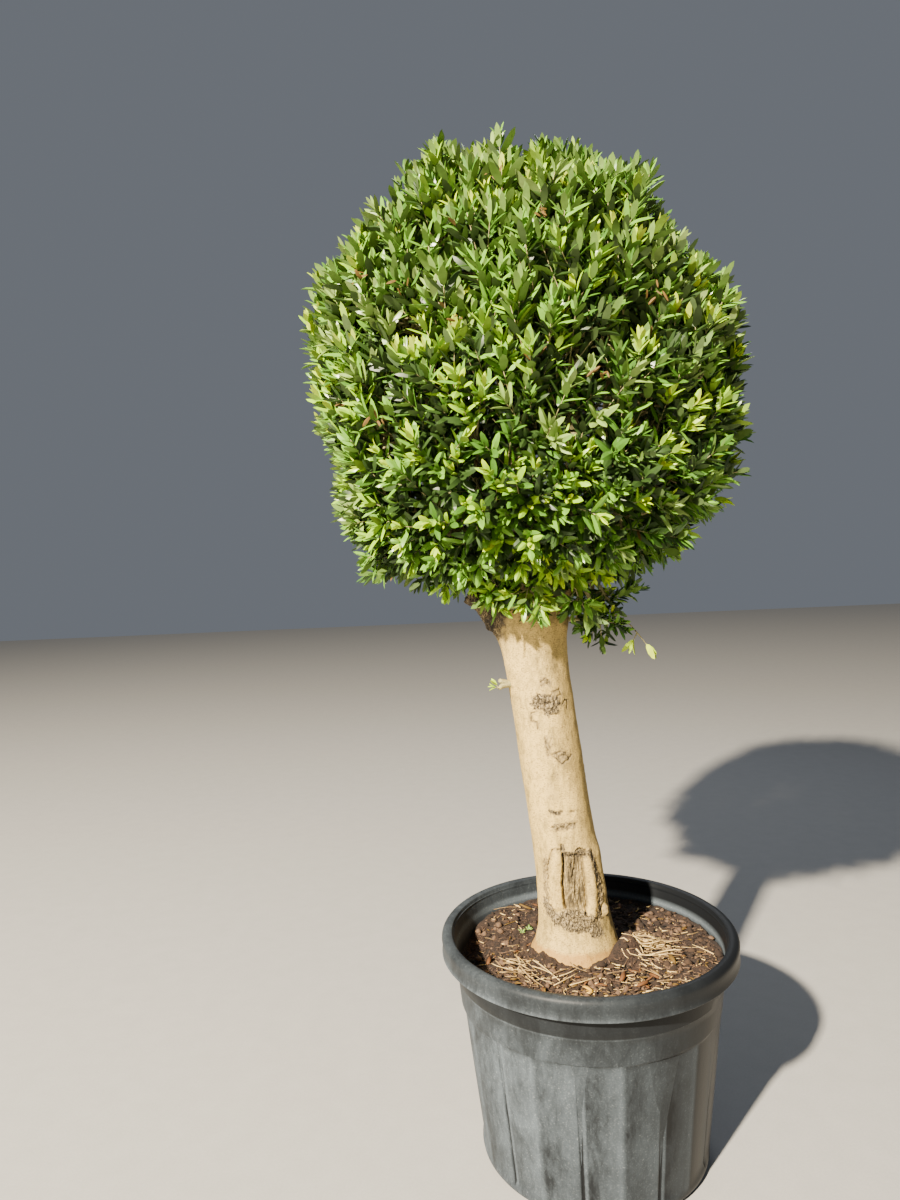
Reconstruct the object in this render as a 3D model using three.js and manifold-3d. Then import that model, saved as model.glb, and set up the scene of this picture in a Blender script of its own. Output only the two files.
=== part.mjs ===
// A clipped olive tree in a round nursery pot.
// Millimetres, +Z up. The origin is the centre of the pot's flat underside.
// The front of the tree faces -Y and its trunk leans towards -X.

import * as THREE from 'three';
import { mergeVertices } from 'three/addons/utils/BufferGeometryUtils.js';
import Module from 'manifold-3d';

const wasm = await Module();
wasm.setup();

// Pot, moulded in black plastic
const POT_HEIGHT = 439;
const RIM_RADIUS = 290;
const LIP_HEIGHT = 39;
const RIM_WIDTH = 22;
const RIM_ROUNDING = 9;
const RIM_BEVEL = 6;
const LIP_BEVEL = 4;
const BODY_TOP_RADIUS = 265;
const FOOT_RADIUS = 222;
const FOOT_ROUNDING = 14;
const POT_WALL = 4;
const FLOOR_THICKNESS = 6;
const LIP_UNDERSIDE = POT_HEIGHT - LIP_HEIGHT;
const WALL_TOP = LIP_UNDERSIDE - 6;
const WALL_FOOT = 21;
const BAND_STEP_HEIGHT = 355;
const BAND_STEP = 1.5;
const BAND_STEP_RISE = 2;
const PANEL_TOP_HEIGHT = 305;
const PANEL_COUNT = 10;
const PANEL_DEPTH = 3.5;
const PANEL_RIDGE = 1.2;
const PANEL_SHARPNESS = 1.6;
const PANEL_FOOT_HEIGHT = 28;
const PANEL_STEP = 4;
const PANEL_PHASE = THREE.MathUtils.degToRad(-68.4);
const POT_SEGMENTS = 50;
const DRAIN_HOLES = 6;
const DRAIN_RADIUS = 8;
const DRAIN_SIDES = 8;
const DRAIN_CIRCLE = 165;

// Soil
const SOIL_HEIGHT = 393;
const SOIL_SEGMENTS = 30;
const SOIL_RELIEF = 7;
const SOIL_RINGS = [0.92, 0.8, 0.68, 0.56, 0.4];
const MOUND_LENGTH = 34;
const FLAT_AT_TRUNK = 120;
const FLAT_AT_WALL = 255;
const RELIEF_FADE = 35;
const CLEARANCE = 0.3;

// Trunk: half widths and the line that its middle follows
const TRUNK_BASE = SOIL_HEIGHT + CLEARANCE;
const TRUNK_TOP = 1075;
const TRUNK_SIDES = 26;
const TRUNK_RINGS = 24;
const WAIST_RADIUS = 62;
const WAIST_HEIGHT = 800;
const WAIST_CURVE = 4 / (350 * 350);
const FLARE_RADIUS = 22;
const FLARE_HEIGHT = 45;
const FLARE_LEFT = 17;
const FLARE_EVEN_AT = 0.35;
const HEAD_SWELL = 19;
const HEAD_REACH = 50;
const HEAD_RIGHT_SHARE = 0.75;
const HEAD_LEFT_EXTRA = 0.5;
const RING_CROWDING = 0.09;
const TRUNK_LOBES = [
  { count: 3, height: 1.6, phase: 0.8, twist: 0 },
  { count: 5, height: 1.1, phase: 0, twist: 1 / 140 },
];
const LEAN_SLOPE = -0.1185;
const LEAN_BACK = 0.02;
const LEAN_HEIGHT = 482;
const LEAN_X = -24;
const WOUND_HEIGHT = 525;
const WOUND_HALF_HEIGHT = 58;
const WOUND_HALF_ANGLE = 0.5;
const WOUND_DEPTH = 7;
const WOUND_LIP = 4;
const WOUND_LIP_AT = 1.1;
const WOUND_LIP_SHARPNESS = 9;
const WOUND_HOLLOW_SHARPNESS = 1.6;
const WOUND_ANGLE = THREE.MathUtils.degToRad(-84);

// Crown: a clipped ball, a little squarer than a sphere, most of all below
const CROWN_CENTRE = new THREE.Vector3(-95, 12, 1492);
const CROWN_HALF_WIDTH = 417;
const CROWN_UP = 445;
const CROWN_DOWN = 394;
const SQUARENESS_UP = 2.25;
const SQUARENESS_DOWN = 2.56;
const LEAF_REACH = 1.025;
const CORE_SHARE = 0.84;
const CORE_DETAIL = 5;
const CORE_RELIEF = 0.02;
const CORE_WAVES = new THREE.Vector3(7, 6, 8);
const FARTHEST_LEAF = 1200;
const HALVINGS = 30;

// The crown's underside is hollow round the trunk's head: spread in radians, depth as a share
const HOLLOW_SPREAD = 0.5;
const HOLLOW_DEPTH = 0.24;

// Where the clipping left a tuft or a dip: direction in degrees, spread in radians, height
const TUFTS = [
  { azimuth: -129, elevation: 56, spread: 0.22, height: 0.11 },
  { azimuth: -144, elevation: 48, spread: 0.2, height: -0.12 },
  { azimuth: -99, elevation: 63, spread: 0.2, height: -0.1 },
  { azimuth: -32, elevation: 35, spread: 0.3, height: -0.14 },
  { azimuth: -30, elevation: 17, spread: 0.2, height: 0.075 },
  { azimuth: -168, elevation: -45, spread: 0.25, height: 0.03 },
  { azimuth: -166, elevation: -16, spread: 0.3, height: -0.1 },
  { azimuth: 30, elevation: 42, spread: 0.3, height: -0.08 },
  { azimuth: 75, elevation: 20, spread: 0.28, height: 0.04 },
  { azimuth: 120, elevation: -20, spread: 0.3, height: -0.06 },
  { azimuth: 140, elevation: 48, spread: 0.26, height: 0.05 },
];

// Boughs that fan out of the trunk's head
const BOUGH_CIRCLE = 50;
const BOUGH_BEND_OUT = 78;
const BOUGH_BEND_HEIGHT = 1150;
const BOUGH_SIDES = 10;
const BOUGH_RINGS = 5;
const BOUGH_TAPER = 0.7;
const BOUGH_SUNK = 14;
const BOUGH_MARKS = 10;
const CUT_BLOCK_WIDTH = 600;
const CUT_BLOCK_HEIGHT = 200;
const RING = [
  { name: 'left', azimuth: 188, radius: 29, endOut: 136, endHeight: 1214 },
  { name: 'front', azimuth: 262, radius: 26, endOut: 118, endHeight: 1232 },
  { name: 'right', azimuth: 334, radius: 27, endOut: 124, endHeight: 1226 },
  { name: 'back_right', azimuth: 46, radius: 26, endOut: 120, endHeight: 1236 },
  { name: 'back_left', azimuth: 118, radius: 27, endOut: 122, endHeight: 1228 },
];
const LEADER_RADIUS = 19;
const STEM_SIDES = 6;
const STEM_TAPER = 0.6;

// Small low mass beside the trunk, on the right
const SKIRT_CENTRE = new THREE.Vector3(62, -6, 1042);
const SKIRT_HALF_SIZE = new THREE.Vector3(76, 72, 52);
const SKIRT_LEFT_LIMIT = -8;
const SKIRT_STEM_START = new THREE.Vector3(-60, -4, 1058);
const SKIRT_STEM_RADIUS = 6;

// Twigs and leaves, larger than life because they are fewer
const SPRAY_COUNT = 90;
const SKIRT_SPRAY_COUNT = 7;
const SKIRT_LEAF_SIZE = 0.62;
const SKIRT_CORE_SHARE = 0.55;
const SKIRT_DETAIL = 2;
const KNEE_DEPTH = 0.03;
const TWIG_RADIUS = 6;
const SHOOT_RADIUS = 3.6;
const SHOOT_TIP_RADIUS = 2.2;
const SHOOT_LENGTH = 52;
const SIDE_SHOOT_LENGTH = 48;
const LEAF_LENGTH = 94;
const LEAF_WIDTH = 37;
const LEAF_THICKNESS = 3.4;
const LEAF_ROOT = 0.3;
const LEAF_ROOM = 20;
const LEAF_MARKS = [0.4, 0.6, 0.8, 1];
const LIMB_ROOM = 12;
const LEAF_SPREAD = THREE.MathUtils.degToRad(58);
const SPREAD_VARIATION = 0.4;
const LAST_LEAVES_AT = 0.92;
const PAIR_GAP = 0.42;
const SHORTEST_SHOOT = 0.4;
const SHOOT_WANDER = 0.5;
const ERECTNESS = 0.5;
const ERECT_ABOVE = -0.35;
const MOST_DROOP = -0.2;
const SEED = 20421;

const COLOURS = {
  pot: { color: 0x3b3d3f, roughness: 0.55, metalness: 0 },
  soil: { color: 0x4b382a, roughness: 0.95, metalness: 0 },
  bark: { color: 0xb9ab91, roughness: 0.85, metalness: 0 },
  foliage: { color: 0x5f7d3c, roughness: 0.6, metalness: 0 },
};

// A repeatable random number from 0 to 1, from a whole-number seed
function seededRandom(seed) {
  let state = seed;
  return () => {
    state = (state + 0x6d2b79f5) | 0;
    let mixed = Math.imul(state ^ (state >>> 15), 1 | state);
    mixed = (mixed + Math.imul(mixed ^ (mixed >>> 7), 61 | mixed)) ^ mixed;
    return ((mixed ^ (mixed >>> 14)) >>> 0) / 4294967296;
  };
}

// Keeps only positions, with shared corners merged, so that the mesh is closed
function closedMesh(geometry) {
  const bare = geometry.clone();
  bare.deleteAttribute('normal');
  bare.deleteAttribute('uv');
  return mergeVertices(bare, 1e-4);
}

function toSolid(geometry) {
  const closed = closedMesh(geometry);
  return new wasm.Manifold(new wasm.Mesh({
    numProp: 3,
    vertProperties: new Float32Array(closed.attributes.position.array),
    triVerts: new Uint32Array(closed.index.array),
  }));
}

function toGeometry(solid) {
  const mesh = solid.getMesh();
  const geometry = new THREE.BufferGeometry();
  geometry.setAttribute('position', new THREE.BufferAttribute(mesh.vertProperties, 3));
  geometry.setIndex(new THREE.BufferAttribute(mesh.triVerts, 1));
  geometry.computeVertexNormals();
  return geometry;
}

// Moves every vertex of a closed mesh to where a function puts it
function reshape(geometry, place) {
  const closed = closedMesh(geometry);
  const position = closed.attributes.position;
  const point = new THREE.Vector3();
  for (let i = 0; i < position.count; i += 1) {
    point.fromBufferAttribute(position, i);
    place(point);
    position.setXYZ(i, point.x, point.y, point.z);
  }
  closed.computeVertexNormals();
  return closed;
}

// Joins solids, and keeps the largest outer surface: hollows fill and scraps go
function fuse(solids) {
  const joined = solids.reduce((sum, solid) => sum.add(solid));
  const pieces = joined.decompose();
  return pieces.reduce((best, piece) => (piece.volume() > best.volume() ? piece : best));
}

// Pot

function bodyRadius(height) {
  const share = height / LIP_UNDERSIDE;
  return THREE.MathUtils.lerp(FOOT_RADIUS, BODY_TOP_RADIUS, share);
}

// How far a panel stands back at an angle: deep at its edges, with a soft middle ridge
function panelRelief(angle) {
  const turn = ((angle - PANEL_PHASE) * PANEL_COUNT) / (2 * Math.PI);
  const across = turn - Math.floor(turn);
  const fromEdge = Math.min(across, 1 - across) * 2;
  return PANEL_DEPTH * Math.min(1, PANEL_SHARPNESS * (1 - fromEdge)) - PANEL_RIDGE * fromEdge;
}

function potProfile() {
  const innerTop = RIM_RADIUS - RIM_WIDTH;
  const bandFoot = BAND_STEP_HEIGHT + BAND_STEP_RISE;
  const roundedRim = [0, 30, 60, 90].map((degrees) => {
    const angle = THREE.MathUtils.degToRad(degrees);
    return new THREE.Vector2(
      RIM_RADIUS - RIM_ROUNDING + RIM_ROUNDING * Math.cos(angle),
      POT_HEIGHT - RIM_ROUNDING + RIM_ROUNDING * Math.sin(angle),
    );
  });
  return [
    new THREE.Vector2(0, 0),
    new THREE.Vector2(FOOT_RADIUS - FOOT_ROUNDING, 0),
    new THREE.Vector2(FOOT_RADIUS - FOOT_ROUNDING * 0.35, FOOT_ROUNDING * 0.3),
    new THREE.Vector2(bodyRadius(FOOT_ROUNDING), FOOT_ROUNDING),
    new THREE.Vector2(bodyRadius(PANEL_FOOT_HEIGHT), PANEL_FOOT_HEIGHT),
    new THREE.Vector2(bodyRadius(PANEL_TOP_HEIGHT - PANEL_STEP), PANEL_TOP_HEIGHT - PANEL_STEP),
    new THREE.Vector2(bodyRadius(PANEL_TOP_HEIGHT), PANEL_TOP_HEIGHT),
    new THREE.Vector2(bodyRadius(BAND_STEP_HEIGHT), BAND_STEP_HEIGHT),
    new THREE.Vector2(bodyRadius(bandFoot) + BAND_STEP, bandFoot),
    new THREE.Vector2(BODY_TOP_RADIUS + BAND_STEP, LIP_UNDERSIDE),
    new THREE.Vector2(RIM_RADIUS - LIP_BEVEL, LIP_UNDERSIDE),
    new THREE.Vector2(RIM_RADIUS, LIP_UNDERSIDE + LIP_BEVEL),
    ...roundedRim,
    new THREE.Vector2(innerTop + RIM_BEVEL, POT_HEIGHT),
    new THREE.Vector2(innerTop, POT_HEIGHT - RIM_BEVEL),
    new THREE.Vector2(innerRadius(WALL_TOP), WALL_TOP),
    new THREE.Vector2(innerRadius(WALL_FOOT), WALL_FOOT),
    new THREE.Vector2(FOOT_RADIUS - FOOT_ROUNDING - POT_WALL, FLOOR_THICKNESS),
    new THREE.Vector2(0, FLOOR_THICKNESS),
  ];
}

// The inner wall's radius at a height inside the pot
function innerRadius(height) {
  const bottom = bodyRadius(FOOT_ROUNDING) - POT_WALL - PANEL_DEPTH;
  const top = bodyRadius(LIP_UNDERSIDE) - POT_WALL;
  return THREE.MathUtils.mapLinear(height, WALL_FOOT, WALL_TOP, bottom, top);
}

function potGeometry() {
  const turned = new THREE.LatheGeometry(potProfile(), POT_SEGMENTS);
  turned.rotateX(Math.PI / 2);
  const fluted = reshape(turned, (point) => {
    const radius = Math.hypot(point.x, point.y);
    const inPanels = point.z > FOOT_ROUNDING + 1 && point.z < PANEL_TOP_HEIGHT - 1;
    if (inPanels && radius > innerRadius(point.z) + 1) {
      const angle = Math.atan2(point.y, point.x);
      const scale = (radius - panelRelief(angle)) / radius;
      point.x *= scale;
      point.y *= scale;
    }
  });
  let solid = toSolid(fluted);
  for (let i = 0; i < DRAIN_HOLES; i += 1) {
    const angle = (i / DRAIN_HOLES) * 2 * Math.PI;
    const drill = new THREE.CylinderGeometry(DRAIN_RADIUS, DRAIN_RADIUS, FLOOR_THICKNESS * 3, DRAIN_SIDES);
    drill.rotateX(Math.PI / 2);
    drill.translate(DRAIN_CIRCLE * Math.cos(angle), DRAIN_CIRCLE * Math.sin(angle), 0);
    solid = solid.subtract(toSolid(drill));
  }
  return toGeometry(solid);
}

// Soil

// Gentle hollows and mounds, none of them under the trunk or at the pot's wall
function soilRelief(x, y) {
  const fromTrunk = Math.hypot(x - LEAN_X, y);
  const fromCentre = Math.hypot(x, y);
  const { smoothstep } = THREE.MathUtils;
  const clearOfTrunk = smoothstep(fromTrunk, FLAT_AT_TRUNK, FLAT_AT_TRUNK + RELIEF_FADE);
  const clearOfWall = 1 - smoothstep(fromCentre, FLAT_AT_WALL - RELIEF_FADE, FLAT_AT_WALL);
  const waves = Math.sin(x / MOUND_LENGTH + 1) * Math.cos(y / MOUND_LENGTH - 1);
  return SOIL_RELIEF * waves * clearOfTrunk * clearOfWall;
}

function soilGeometry() {
  const top = innerRadius(SOIL_HEIGHT) - 2 * CLEARANCE;
  const profile = [
    new THREE.Vector2(0, FLOOR_THICKNESS + CLEARANCE),
    new THREE.Vector2(FOOT_RADIUS - FOOT_ROUNDING - POT_WALL - 1, FLOOR_THICKNESS + CLEARANCE),
    new THREE.Vector2(innerRadius(WALL_FOOT) - 3 * CLEARANCE, WALL_FOOT),
    new THREE.Vector2(top, SOIL_HEIGHT),
    ...SOIL_RINGS.map((share) => new THREE.Vector2(top * share, SOIL_HEIGHT)),
    new THREE.Vector2(0, SOIL_HEIGHT),
  ];
  const turned = new THREE.LatheGeometry(profile, SOIL_SEGMENTS);
  turned.rotateX(Math.PI / 2);
  return reshape(turned, (point) => {
    if (point.z > SOIL_HEIGHT - 1) {
      point.z += soilRelief(point.x, point.y);
    }
  });
}

// Trunk

function trunkCentre(height) {
  const x = LEAN_X + LEAN_SLOPE * (height - LEAN_HEIGHT);
  const y = LEAN_BACK * (height - TRUNK_BASE);
  return new THREE.Vector3(x, y, height);
}

function trunkRadius(height, angle) {
  const leftward = (1 - Math.cos(angle)) / 2;
  const waist = WAIST_RADIUS + WAIST_CURVE * (height - WAIST_HEIGHT) ** 2;
  const rise = (height - TRUNK_BASE) / FLARE_HEIGHT;
  const flare = (FLARE_RADIUS + FLARE_LEFT * (leftward - FLARE_EVEN_AT)) * Math.exp(-rise);
  const drop = (TRUNK_TOP - height) / HEAD_REACH;
  const headShare = HEAD_RIGHT_SHARE + HEAD_LEFT_EXTRA * leftward;
  const head = HEAD_SWELL * headShare * Math.exp(-drop * drop);
  const lobes = TRUNK_LOBES.reduce((sum, lobe) => (
    sum + lobe.height * Math.cos(lobe.count * angle + lobe.phase + lobe.twist * height)
  ), 0);
  return waist + flare + head + lobes + woundRelief(height, angle);
}

// An old wound low on the front: a hollow inside a rounded callus lip
function woundRelief(height, angle) {
  const side = Math.atan2(Math.sin(angle - WOUND_ANGLE), Math.cos(angle - WOUND_ANGLE));
  const across = side / WOUND_HALF_ANGLE;
  const along = (height - WOUND_HEIGHT) / WOUND_HALF_HEIGHT;
  const spread = across * across + along * along;
  const hollow = Math.exp(-spread * WOUND_HOLLOW_SHARPNESS);
  const fromLip = Math.sqrt(spread) - WOUND_LIP_AT;
  const lip = Math.exp(-fromLip * fromLip * WOUND_LIP_SHARPNESS);
  return WOUND_LIP * lip - WOUND_DEPTH * hollow;
}

// Rings sit closer together at the flare, the wound and the head
function trunkHeight(share) {
  const eased = share - RING_CROWDING * Math.sin(2 * Math.PI * share);
  return THREE.MathUtils.lerp(TRUNK_BASE, TRUNK_TOP, eased);
}

function trunkGeometry(extra = 0) {
  const cylinder = new THREE.CylinderGeometry(1, 1, 1, TRUNK_SIDES, TRUNK_RINGS);
  cylinder.rotateX(Math.PI / 2);
  return reshape(cylinder, (point) => {
    const share = THREE.MathUtils.clamp(point.z + 0.5, 0, 1);
    const angle = Math.atan2(point.y, point.x);
    const height = trunkHeight(share);
    const reach = Math.hypot(point.x, point.y) > 0.5 ? trunkRadius(height, angle) + extra : 0;
    const end = share > 0.999 ? extra : 0;
    point.copy(trunkCentre(height));
    point.x += reach * Math.cos(angle);
    point.y += reach * Math.sin(angle);
    point.z += end;
  });
}

// Boughs and stems

// A tapering limb: a cylinder's rings are set across a curve
function limbGeometry(curve, startRadius, endRadius, sides = BOUGH_SIDES, rings = BOUGH_RINGS) {
  const cylinder = new THREE.CylinderGeometry(1, 1, 1, sides, rings);
  cylinder.rotateX(Math.PI / 2);
  const frames = curve.computeFrenetFrames(rings, false);
  return reshape(cylinder, (point) => {
    const share = THREE.MathUtils.clamp(point.z + 0.5, 0, 1);
    const ring = Math.round(share * rings);
    const radius = THREE.MathUtils.lerp(startRadius, endRadius, share);
    const along = curve.getPointAt(share);
    const across = frames.normals[ring].clone().multiplyScalar(point.x * radius);
    const beside = frames.binormals[ring].clone().multiplyScalar(point.y * radius);
    point.copy(along).add(across).add(beside);
  });
}

function radial(azimuth) {
  const angle = THREE.MathUtils.degToRad(azimuth);
  return new THREE.Vector3(Math.cos(angle), Math.sin(angle), 0);
}

// A limb of the ring rises from the trunk's head and opens out like a vase
function ringCurve(bough) {
  const out = radial(bough.azimuth);
  const head = trunkCentre(TRUNK_TOP);
  const start = head.clone().addScaledVector(out, BOUGH_CIRCLE);
  start.z -= bough.radius;
  const bend = head.clone().addScaledVector(out, BOUGH_BEND_OUT);
  bend.z = BOUGH_BEND_HEIGHT;
  const aim = CROWN_CENTRE.clone().addScaledVector(out, bough.endOut);
  aim.z = bough.endHeight;
  return new THREE.QuadraticBezierCurve3(start, bend, underCoreSurface(aim));
}

function leaderCurve() {
  const start = trunkCentre(TRUNK_TOP);
  start.z -= LEADER_RADIUS;
  const aim = CROWN_CENTRE.clone().setZ(TRUNK_TOP);
  return new THREE.LineCurve3(start, underCoreSurface(aim));
}

// Where a bough that heads for a point ends: a little way into the crown's core
function underCoreSurface(aim) {
  const heading = aim.clone().sub(CROWN_CENTRE).normalize();
  const reach = coreReach(crownSpace, heading) - BOUGH_SUNK;
  return CROWN_CENTRE.clone().addScaledVector(heading, reach);
}

// A bough stands on the trunk's head, cut level just above it
function boughSolid(bough, extra = 0) {
  const { curve, radius } = bough;
  const limb = toSolid(limbGeometry(curve, radius + extra, radius * BOUGH_TAPER + extra));
  const below = new THREE.BoxGeometry(CUT_BLOCK_WIDTH, CUT_BLOCK_WIDTH, CUT_BLOCK_HEIGHT);
  below.translate(0, 0, TRUNK_TOP + CLEARANCE - CUT_BLOCK_HEIGHT / 2);
  return limb.subtract(toSolid(below));
}

// Crown

function direction(azimuth, elevation) {
  const lift = THREE.MathUtils.degToRad(elevation);
  const heading = radial(azimuth).multiplyScalar(Math.cos(lift));
  heading.z = Math.sin(lift);
  return heading;
}

const tuftDirections = TUFTS.map((tuft) => direction(tuft.azimuth, tuft.elevation));

// The clipped outline: 1 on its surface, less inside
function crownLevel(point) {
  const from = point.clone().sub(CROWN_CENTRE);
  const x = Math.abs(from.x) / CROWN_HALF_WIDTH;
  const y = Math.abs(from.y) / CROWN_HALF_WIDTH;
  const z = Math.abs(from.z) / (from.z > 0 ? CROWN_UP : CROWN_DOWN);
  const power = from.z > 0 ? SQUARENESS_UP : SQUARENESS_DOWN;
  const level = (x ** power + y ** power + z ** power) ** (1 / power);
  const swell = TUFTS.reduce((sum, tuft, i) => {
    const turn = from.angleTo(tuftDirections[i]) / tuft.spread;
    return sum + tuft.height * Math.exp(-turn * turn);
  }, 1);
  return level / swell;
}

function skirtLevel(point) {
  const x = (point.x - SKIRT_CENTRE.x) / SKIRT_HALF_SIZE.x;
  const y = (point.y - SKIRT_CENTRE.y) / SKIRT_HALF_SIZE.y;
  const z = (point.z - SKIRT_CENTRE.z) / SKIRT_HALF_SIZE.z;
  return Math.hypot(x, y, z);
}

// How far a ray runs before the outline's level rises above a limit
function distanceToLevel(level, start, heading, limit) {
  const point = new THREE.Vector3();
  let near = 0;
  let far = FARTHEST_LEAF;
  for (let step = 0; step < HALVINGS; step += 1) {
    const middle = (near + far) / 2;
    point.copy(start).addScaledVector(heading, middle);
    if (level(point) < limit) {
      near = middle;
    } else {
      far = middle;
    }
  }
  return near;
}

const crownSpace = {
  centre: CROWN_CENTRE,
  level: crownLevel,
  coreShare: CORE_SHARE,
  hollowDepth: HOLLOW_DEPTH,
  leafSize: 1,
  leftLimit: -Infinity,
};

const skirtSpace = {
  centre: SKIRT_CENTRE,
  level: skirtLevel,
  coreShare: SKIRT_CORE_SHARE,
  hollowDepth: 0,
  leafSize: SKIRT_LEAF_SIZE,
  leftLimit: SKIRT_LEFT_LIMIT,
};

// How far the dense core of a mass reaches from its middle
function coreReach(space, heading) {
  const wave = heading.clone().multiply(CORE_WAVES);
  const bumps = Math.sin(wave.x + 2) * Math.sin(wave.y + 1) * Math.sin(wave.z);
  const turn = heading.angleTo(new THREE.Vector3(0, 0, -1)) / HOLLOW_SPREAD;
  const hollow = space.hollowDepth * Math.exp(-turn * turn);
  const share = space.coreShare * (1 + CORE_RELIEF * bumps) - hollow;
  return distanceToLevel(space.level, space.centre, heading, share);
}

function coreSolid(space, detail) {
  const ball = new THREE.IcosahedronGeometry(1, detail);
  const heading = new THREE.Vector3();
  return toSolid(reshape(ball, (point) => {
    heading.copy(point).normalize();
    point.copy(space.centre).addScaledVector(heading, coreReach(space, heading));
  }));
}

// Directions spread evenly over a sphere
function evenDirections(count) {
  const golden = Math.PI * (3 - Math.sqrt(5));
  return Array.from({ length: count }, (_, i) => {
    const z = 1 - (2 * (i + 0.5)) / count;
    const radius = Math.sqrt(1 - z * z);
    return new THREE.Vector3(radius * Math.cos(golden * i), radius * Math.sin(golden * i), z);
  });
}

function turnTo(geometry, heading, position, roll = 0) {
  const turn = new THREE.Quaternion().setFromUnitVectors(new THREE.Vector3(0, 0, 1), heading);
  geometry.rotateZ(roll);
  geometry.applyQuaternion(turn);
  geometry.translate(position.x, position.y, position.z);
  return geometry;
}

function twigGeometry(start, end, radius, tipRadius) {
  const along = end.clone().sub(start);
  const length = along.length();
  const twig = new THREE.CylinderGeometry(tipRadius, radius, length, 3, 1);
  twig.rotateX(Math.PI / 2);
  twig.translate(0, 0, length / 2);
  return turnTo(twig, along.normalize(), start);
}

function leafGeometry(root, heading, roll, size) {
  const leaf = new THREE.OctahedronGeometry(0.5, 0);
  leaf.scale(LEAF_WIDTH * size, LEAF_THICKNESS, LEAF_LENGTH * size);
  leaf.translate(0, 0, LEAF_LENGTH * size * 0.5 + LEAF_ROOT);
  return turnTo(leaf, heading, root, roll);
}

// Whether a point comes near one of the limbs
function touchesLimb(limbs, point) {
  return limbs.some(({ marks, radius }) => marks.some((mark) => (
    mark.distanceTo(point) < radius + LIMB_ROOM
  )));
}

// Keeps a twig or leaf only if it stays in its space and clear of the limbs
function addIfInside(solids, geometry, space, limbs) {
  const position = geometry.attributes.position;
  const point = new THREE.Vector3();
  for (let i = 0; i < position.count; i += 1) {
    point.fromBufferAttribute(position, i);
    const outside = space.level(point) > LEAF_REACH || point.x < space.leftLimit;
    if (outside || touchesLimb(limbs, point)) {
      return false;
    }
  }
  solids.push(toSolid(geometry));
  return true;
}

// A mass in the making: its solids so far, and points on the leaves already there
class Mass {
  constructor(space, stem, stemRadius, limbs, detail, seed) {
    this.space = space;
    this.limbs = limbs;
    this.stemEnd = stem.getPoint(1);
    this.random = seededRandom(seed);
    this.taken = [];
    const stemLimb = limbGeometry(stem, stemRadius, stemRadius * STEM_TAPER, STEM_SIDES, 1);
    this.solids = [coreSolid(space, detail), toSolid(stemLimb)];
  }

  // Keeps a leaf that stands out of the core and clear of the leaves already there
  addLeaf(root, heading) {
    const length = LEAF_LENGTH * this.space.leafSize;
    const room = LEAF_ROOM * this.space.leafSize;
    const roll = this.random() * Math.PI;
    const marks = LEAF_MARKS.map((share) => (
      root.clone().addScaledVector(heading, length * share)
    ));
    const buried = this.space.level(marks[1]) < this.space.coreShare;
    const crowded = marks.some((mark) => (
      this.taken.some((other) => mark.distanceTo(other) < room)
    ));
    if (buried || crowded) {
      return;
    }
    const leaf = leafGeometry(root, heading, roll, this.space.leafSize);
    if (addIfInside(this.solids, leaf, this.space, this.limbs)) {
      this.taken.push(...marks);
    }
  }

  // Leaves along a shoot: opposite pairs, each turned across the last, and one at its tip
  addLeaves(start, end, pairs) {
    const heading = end.clone().sub(start).normalize();
    const aside = new THREE.Vector3(-heading.y, heading.x, 0.01).normalize();
    let turn = this.random() * Math.PI;
    for (let pair = 0; pair < pairs; pair += 1) {
      const root = start.clone().lerp(end, LAST_LEAVES_AT - PAIR_GAP * pair);
      for (const side of [0, Math.PI]) {
        const out = aside.clone().applyAxisAngle(heading, turn + side);
        const spread = LEAF_SPREAD * (1 + SPREAD_VARIATION * (this.random() - 0.5));
        const aim = heading.clone().multiplyScalar(Math.cos(spread));
        this.addLeaf(root, aim.addScaledVector(out, Math.sin(spread)));
      }
      turn += Math.PI / 2;
    }
    this.addLeaf(start.clone().lerp(end, LAST_LEAVES_AT), heading);
  }

  addShoot(knee, heading, length, pairs) {
    const tip = knee.clone().addScaledVector(heading, length * this.space.leafSize);
    const twig = twigGeometry(knee, tip, SHOOT_RADIUS, SHOOT_TIP_RADIUS);
    if (addIfInside(this.solids, twig, this.space, this.limbs)) {
      this.addLeaves(knee, tip, pairs);
    }
  }

  // One spray: a twig from the stem to below the surface, then a shoot and a side shoot
  addSpray(outward) {
    const depth = coreReach(this.space, outward) * (1 - KNEE_DEPTH);
    const knee = this.space.centre.clone().addScaledVector(outward, depth);
    this.solids.push(toSolid(twigGeometry(this.stemEnd, knee, TWIG_RADIUS, SHOOT_RADIUS)));
    const heading = outward.clone().add(new THREE.Vector3(
      SHOOT_WANDER * (this.random() - 0.5),
      SHOOT_WANDER * (this.random() - 0.5),
      ERECTNESS * Math.max(MOST_DROOP, outward.z - ERECT_ABOVE),
    ));
    heading.normalize();
    const length = SHOOT_LENGTH * THREE.MathUtils.lerp(SHORTEST_SHOOT, 1, this.random());
    this.addShoot(knee, heading, length, 2);
    const aside = new THREE.Vector3(-heading.y, heading.x, 0.2).normalize();
    aside.applyAxisAngle(heading, this.random() * 2 * Math.PI);
    this.addShoot(knee, heading.clone().add(aside).normalize(), SIDE_SHOOT_LENGTH, 1);
  }

  // The fused mass, cut clear of the limbs that it meets
  geometry(cutters) {
    const mass = cutters.reduce((rest, cutter) => rest.subtract(cutter), fuse(this.solids));
    // Read back as stored, because rounding can part a leaf that hangs by a hair
    return toGeometry(fuse([toSolid(toGeometry(mass))]));
  }
}

// Assembly

function material(finish) {
  return new THREE.MeshStandardMaterial(finish);
}

function addMesh(group, name, geometry, finish) {
  const mesh = new THREE.Mesh(geometry, material(finish));
  mesh.name = name;
  group.add(mesh);
}

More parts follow.
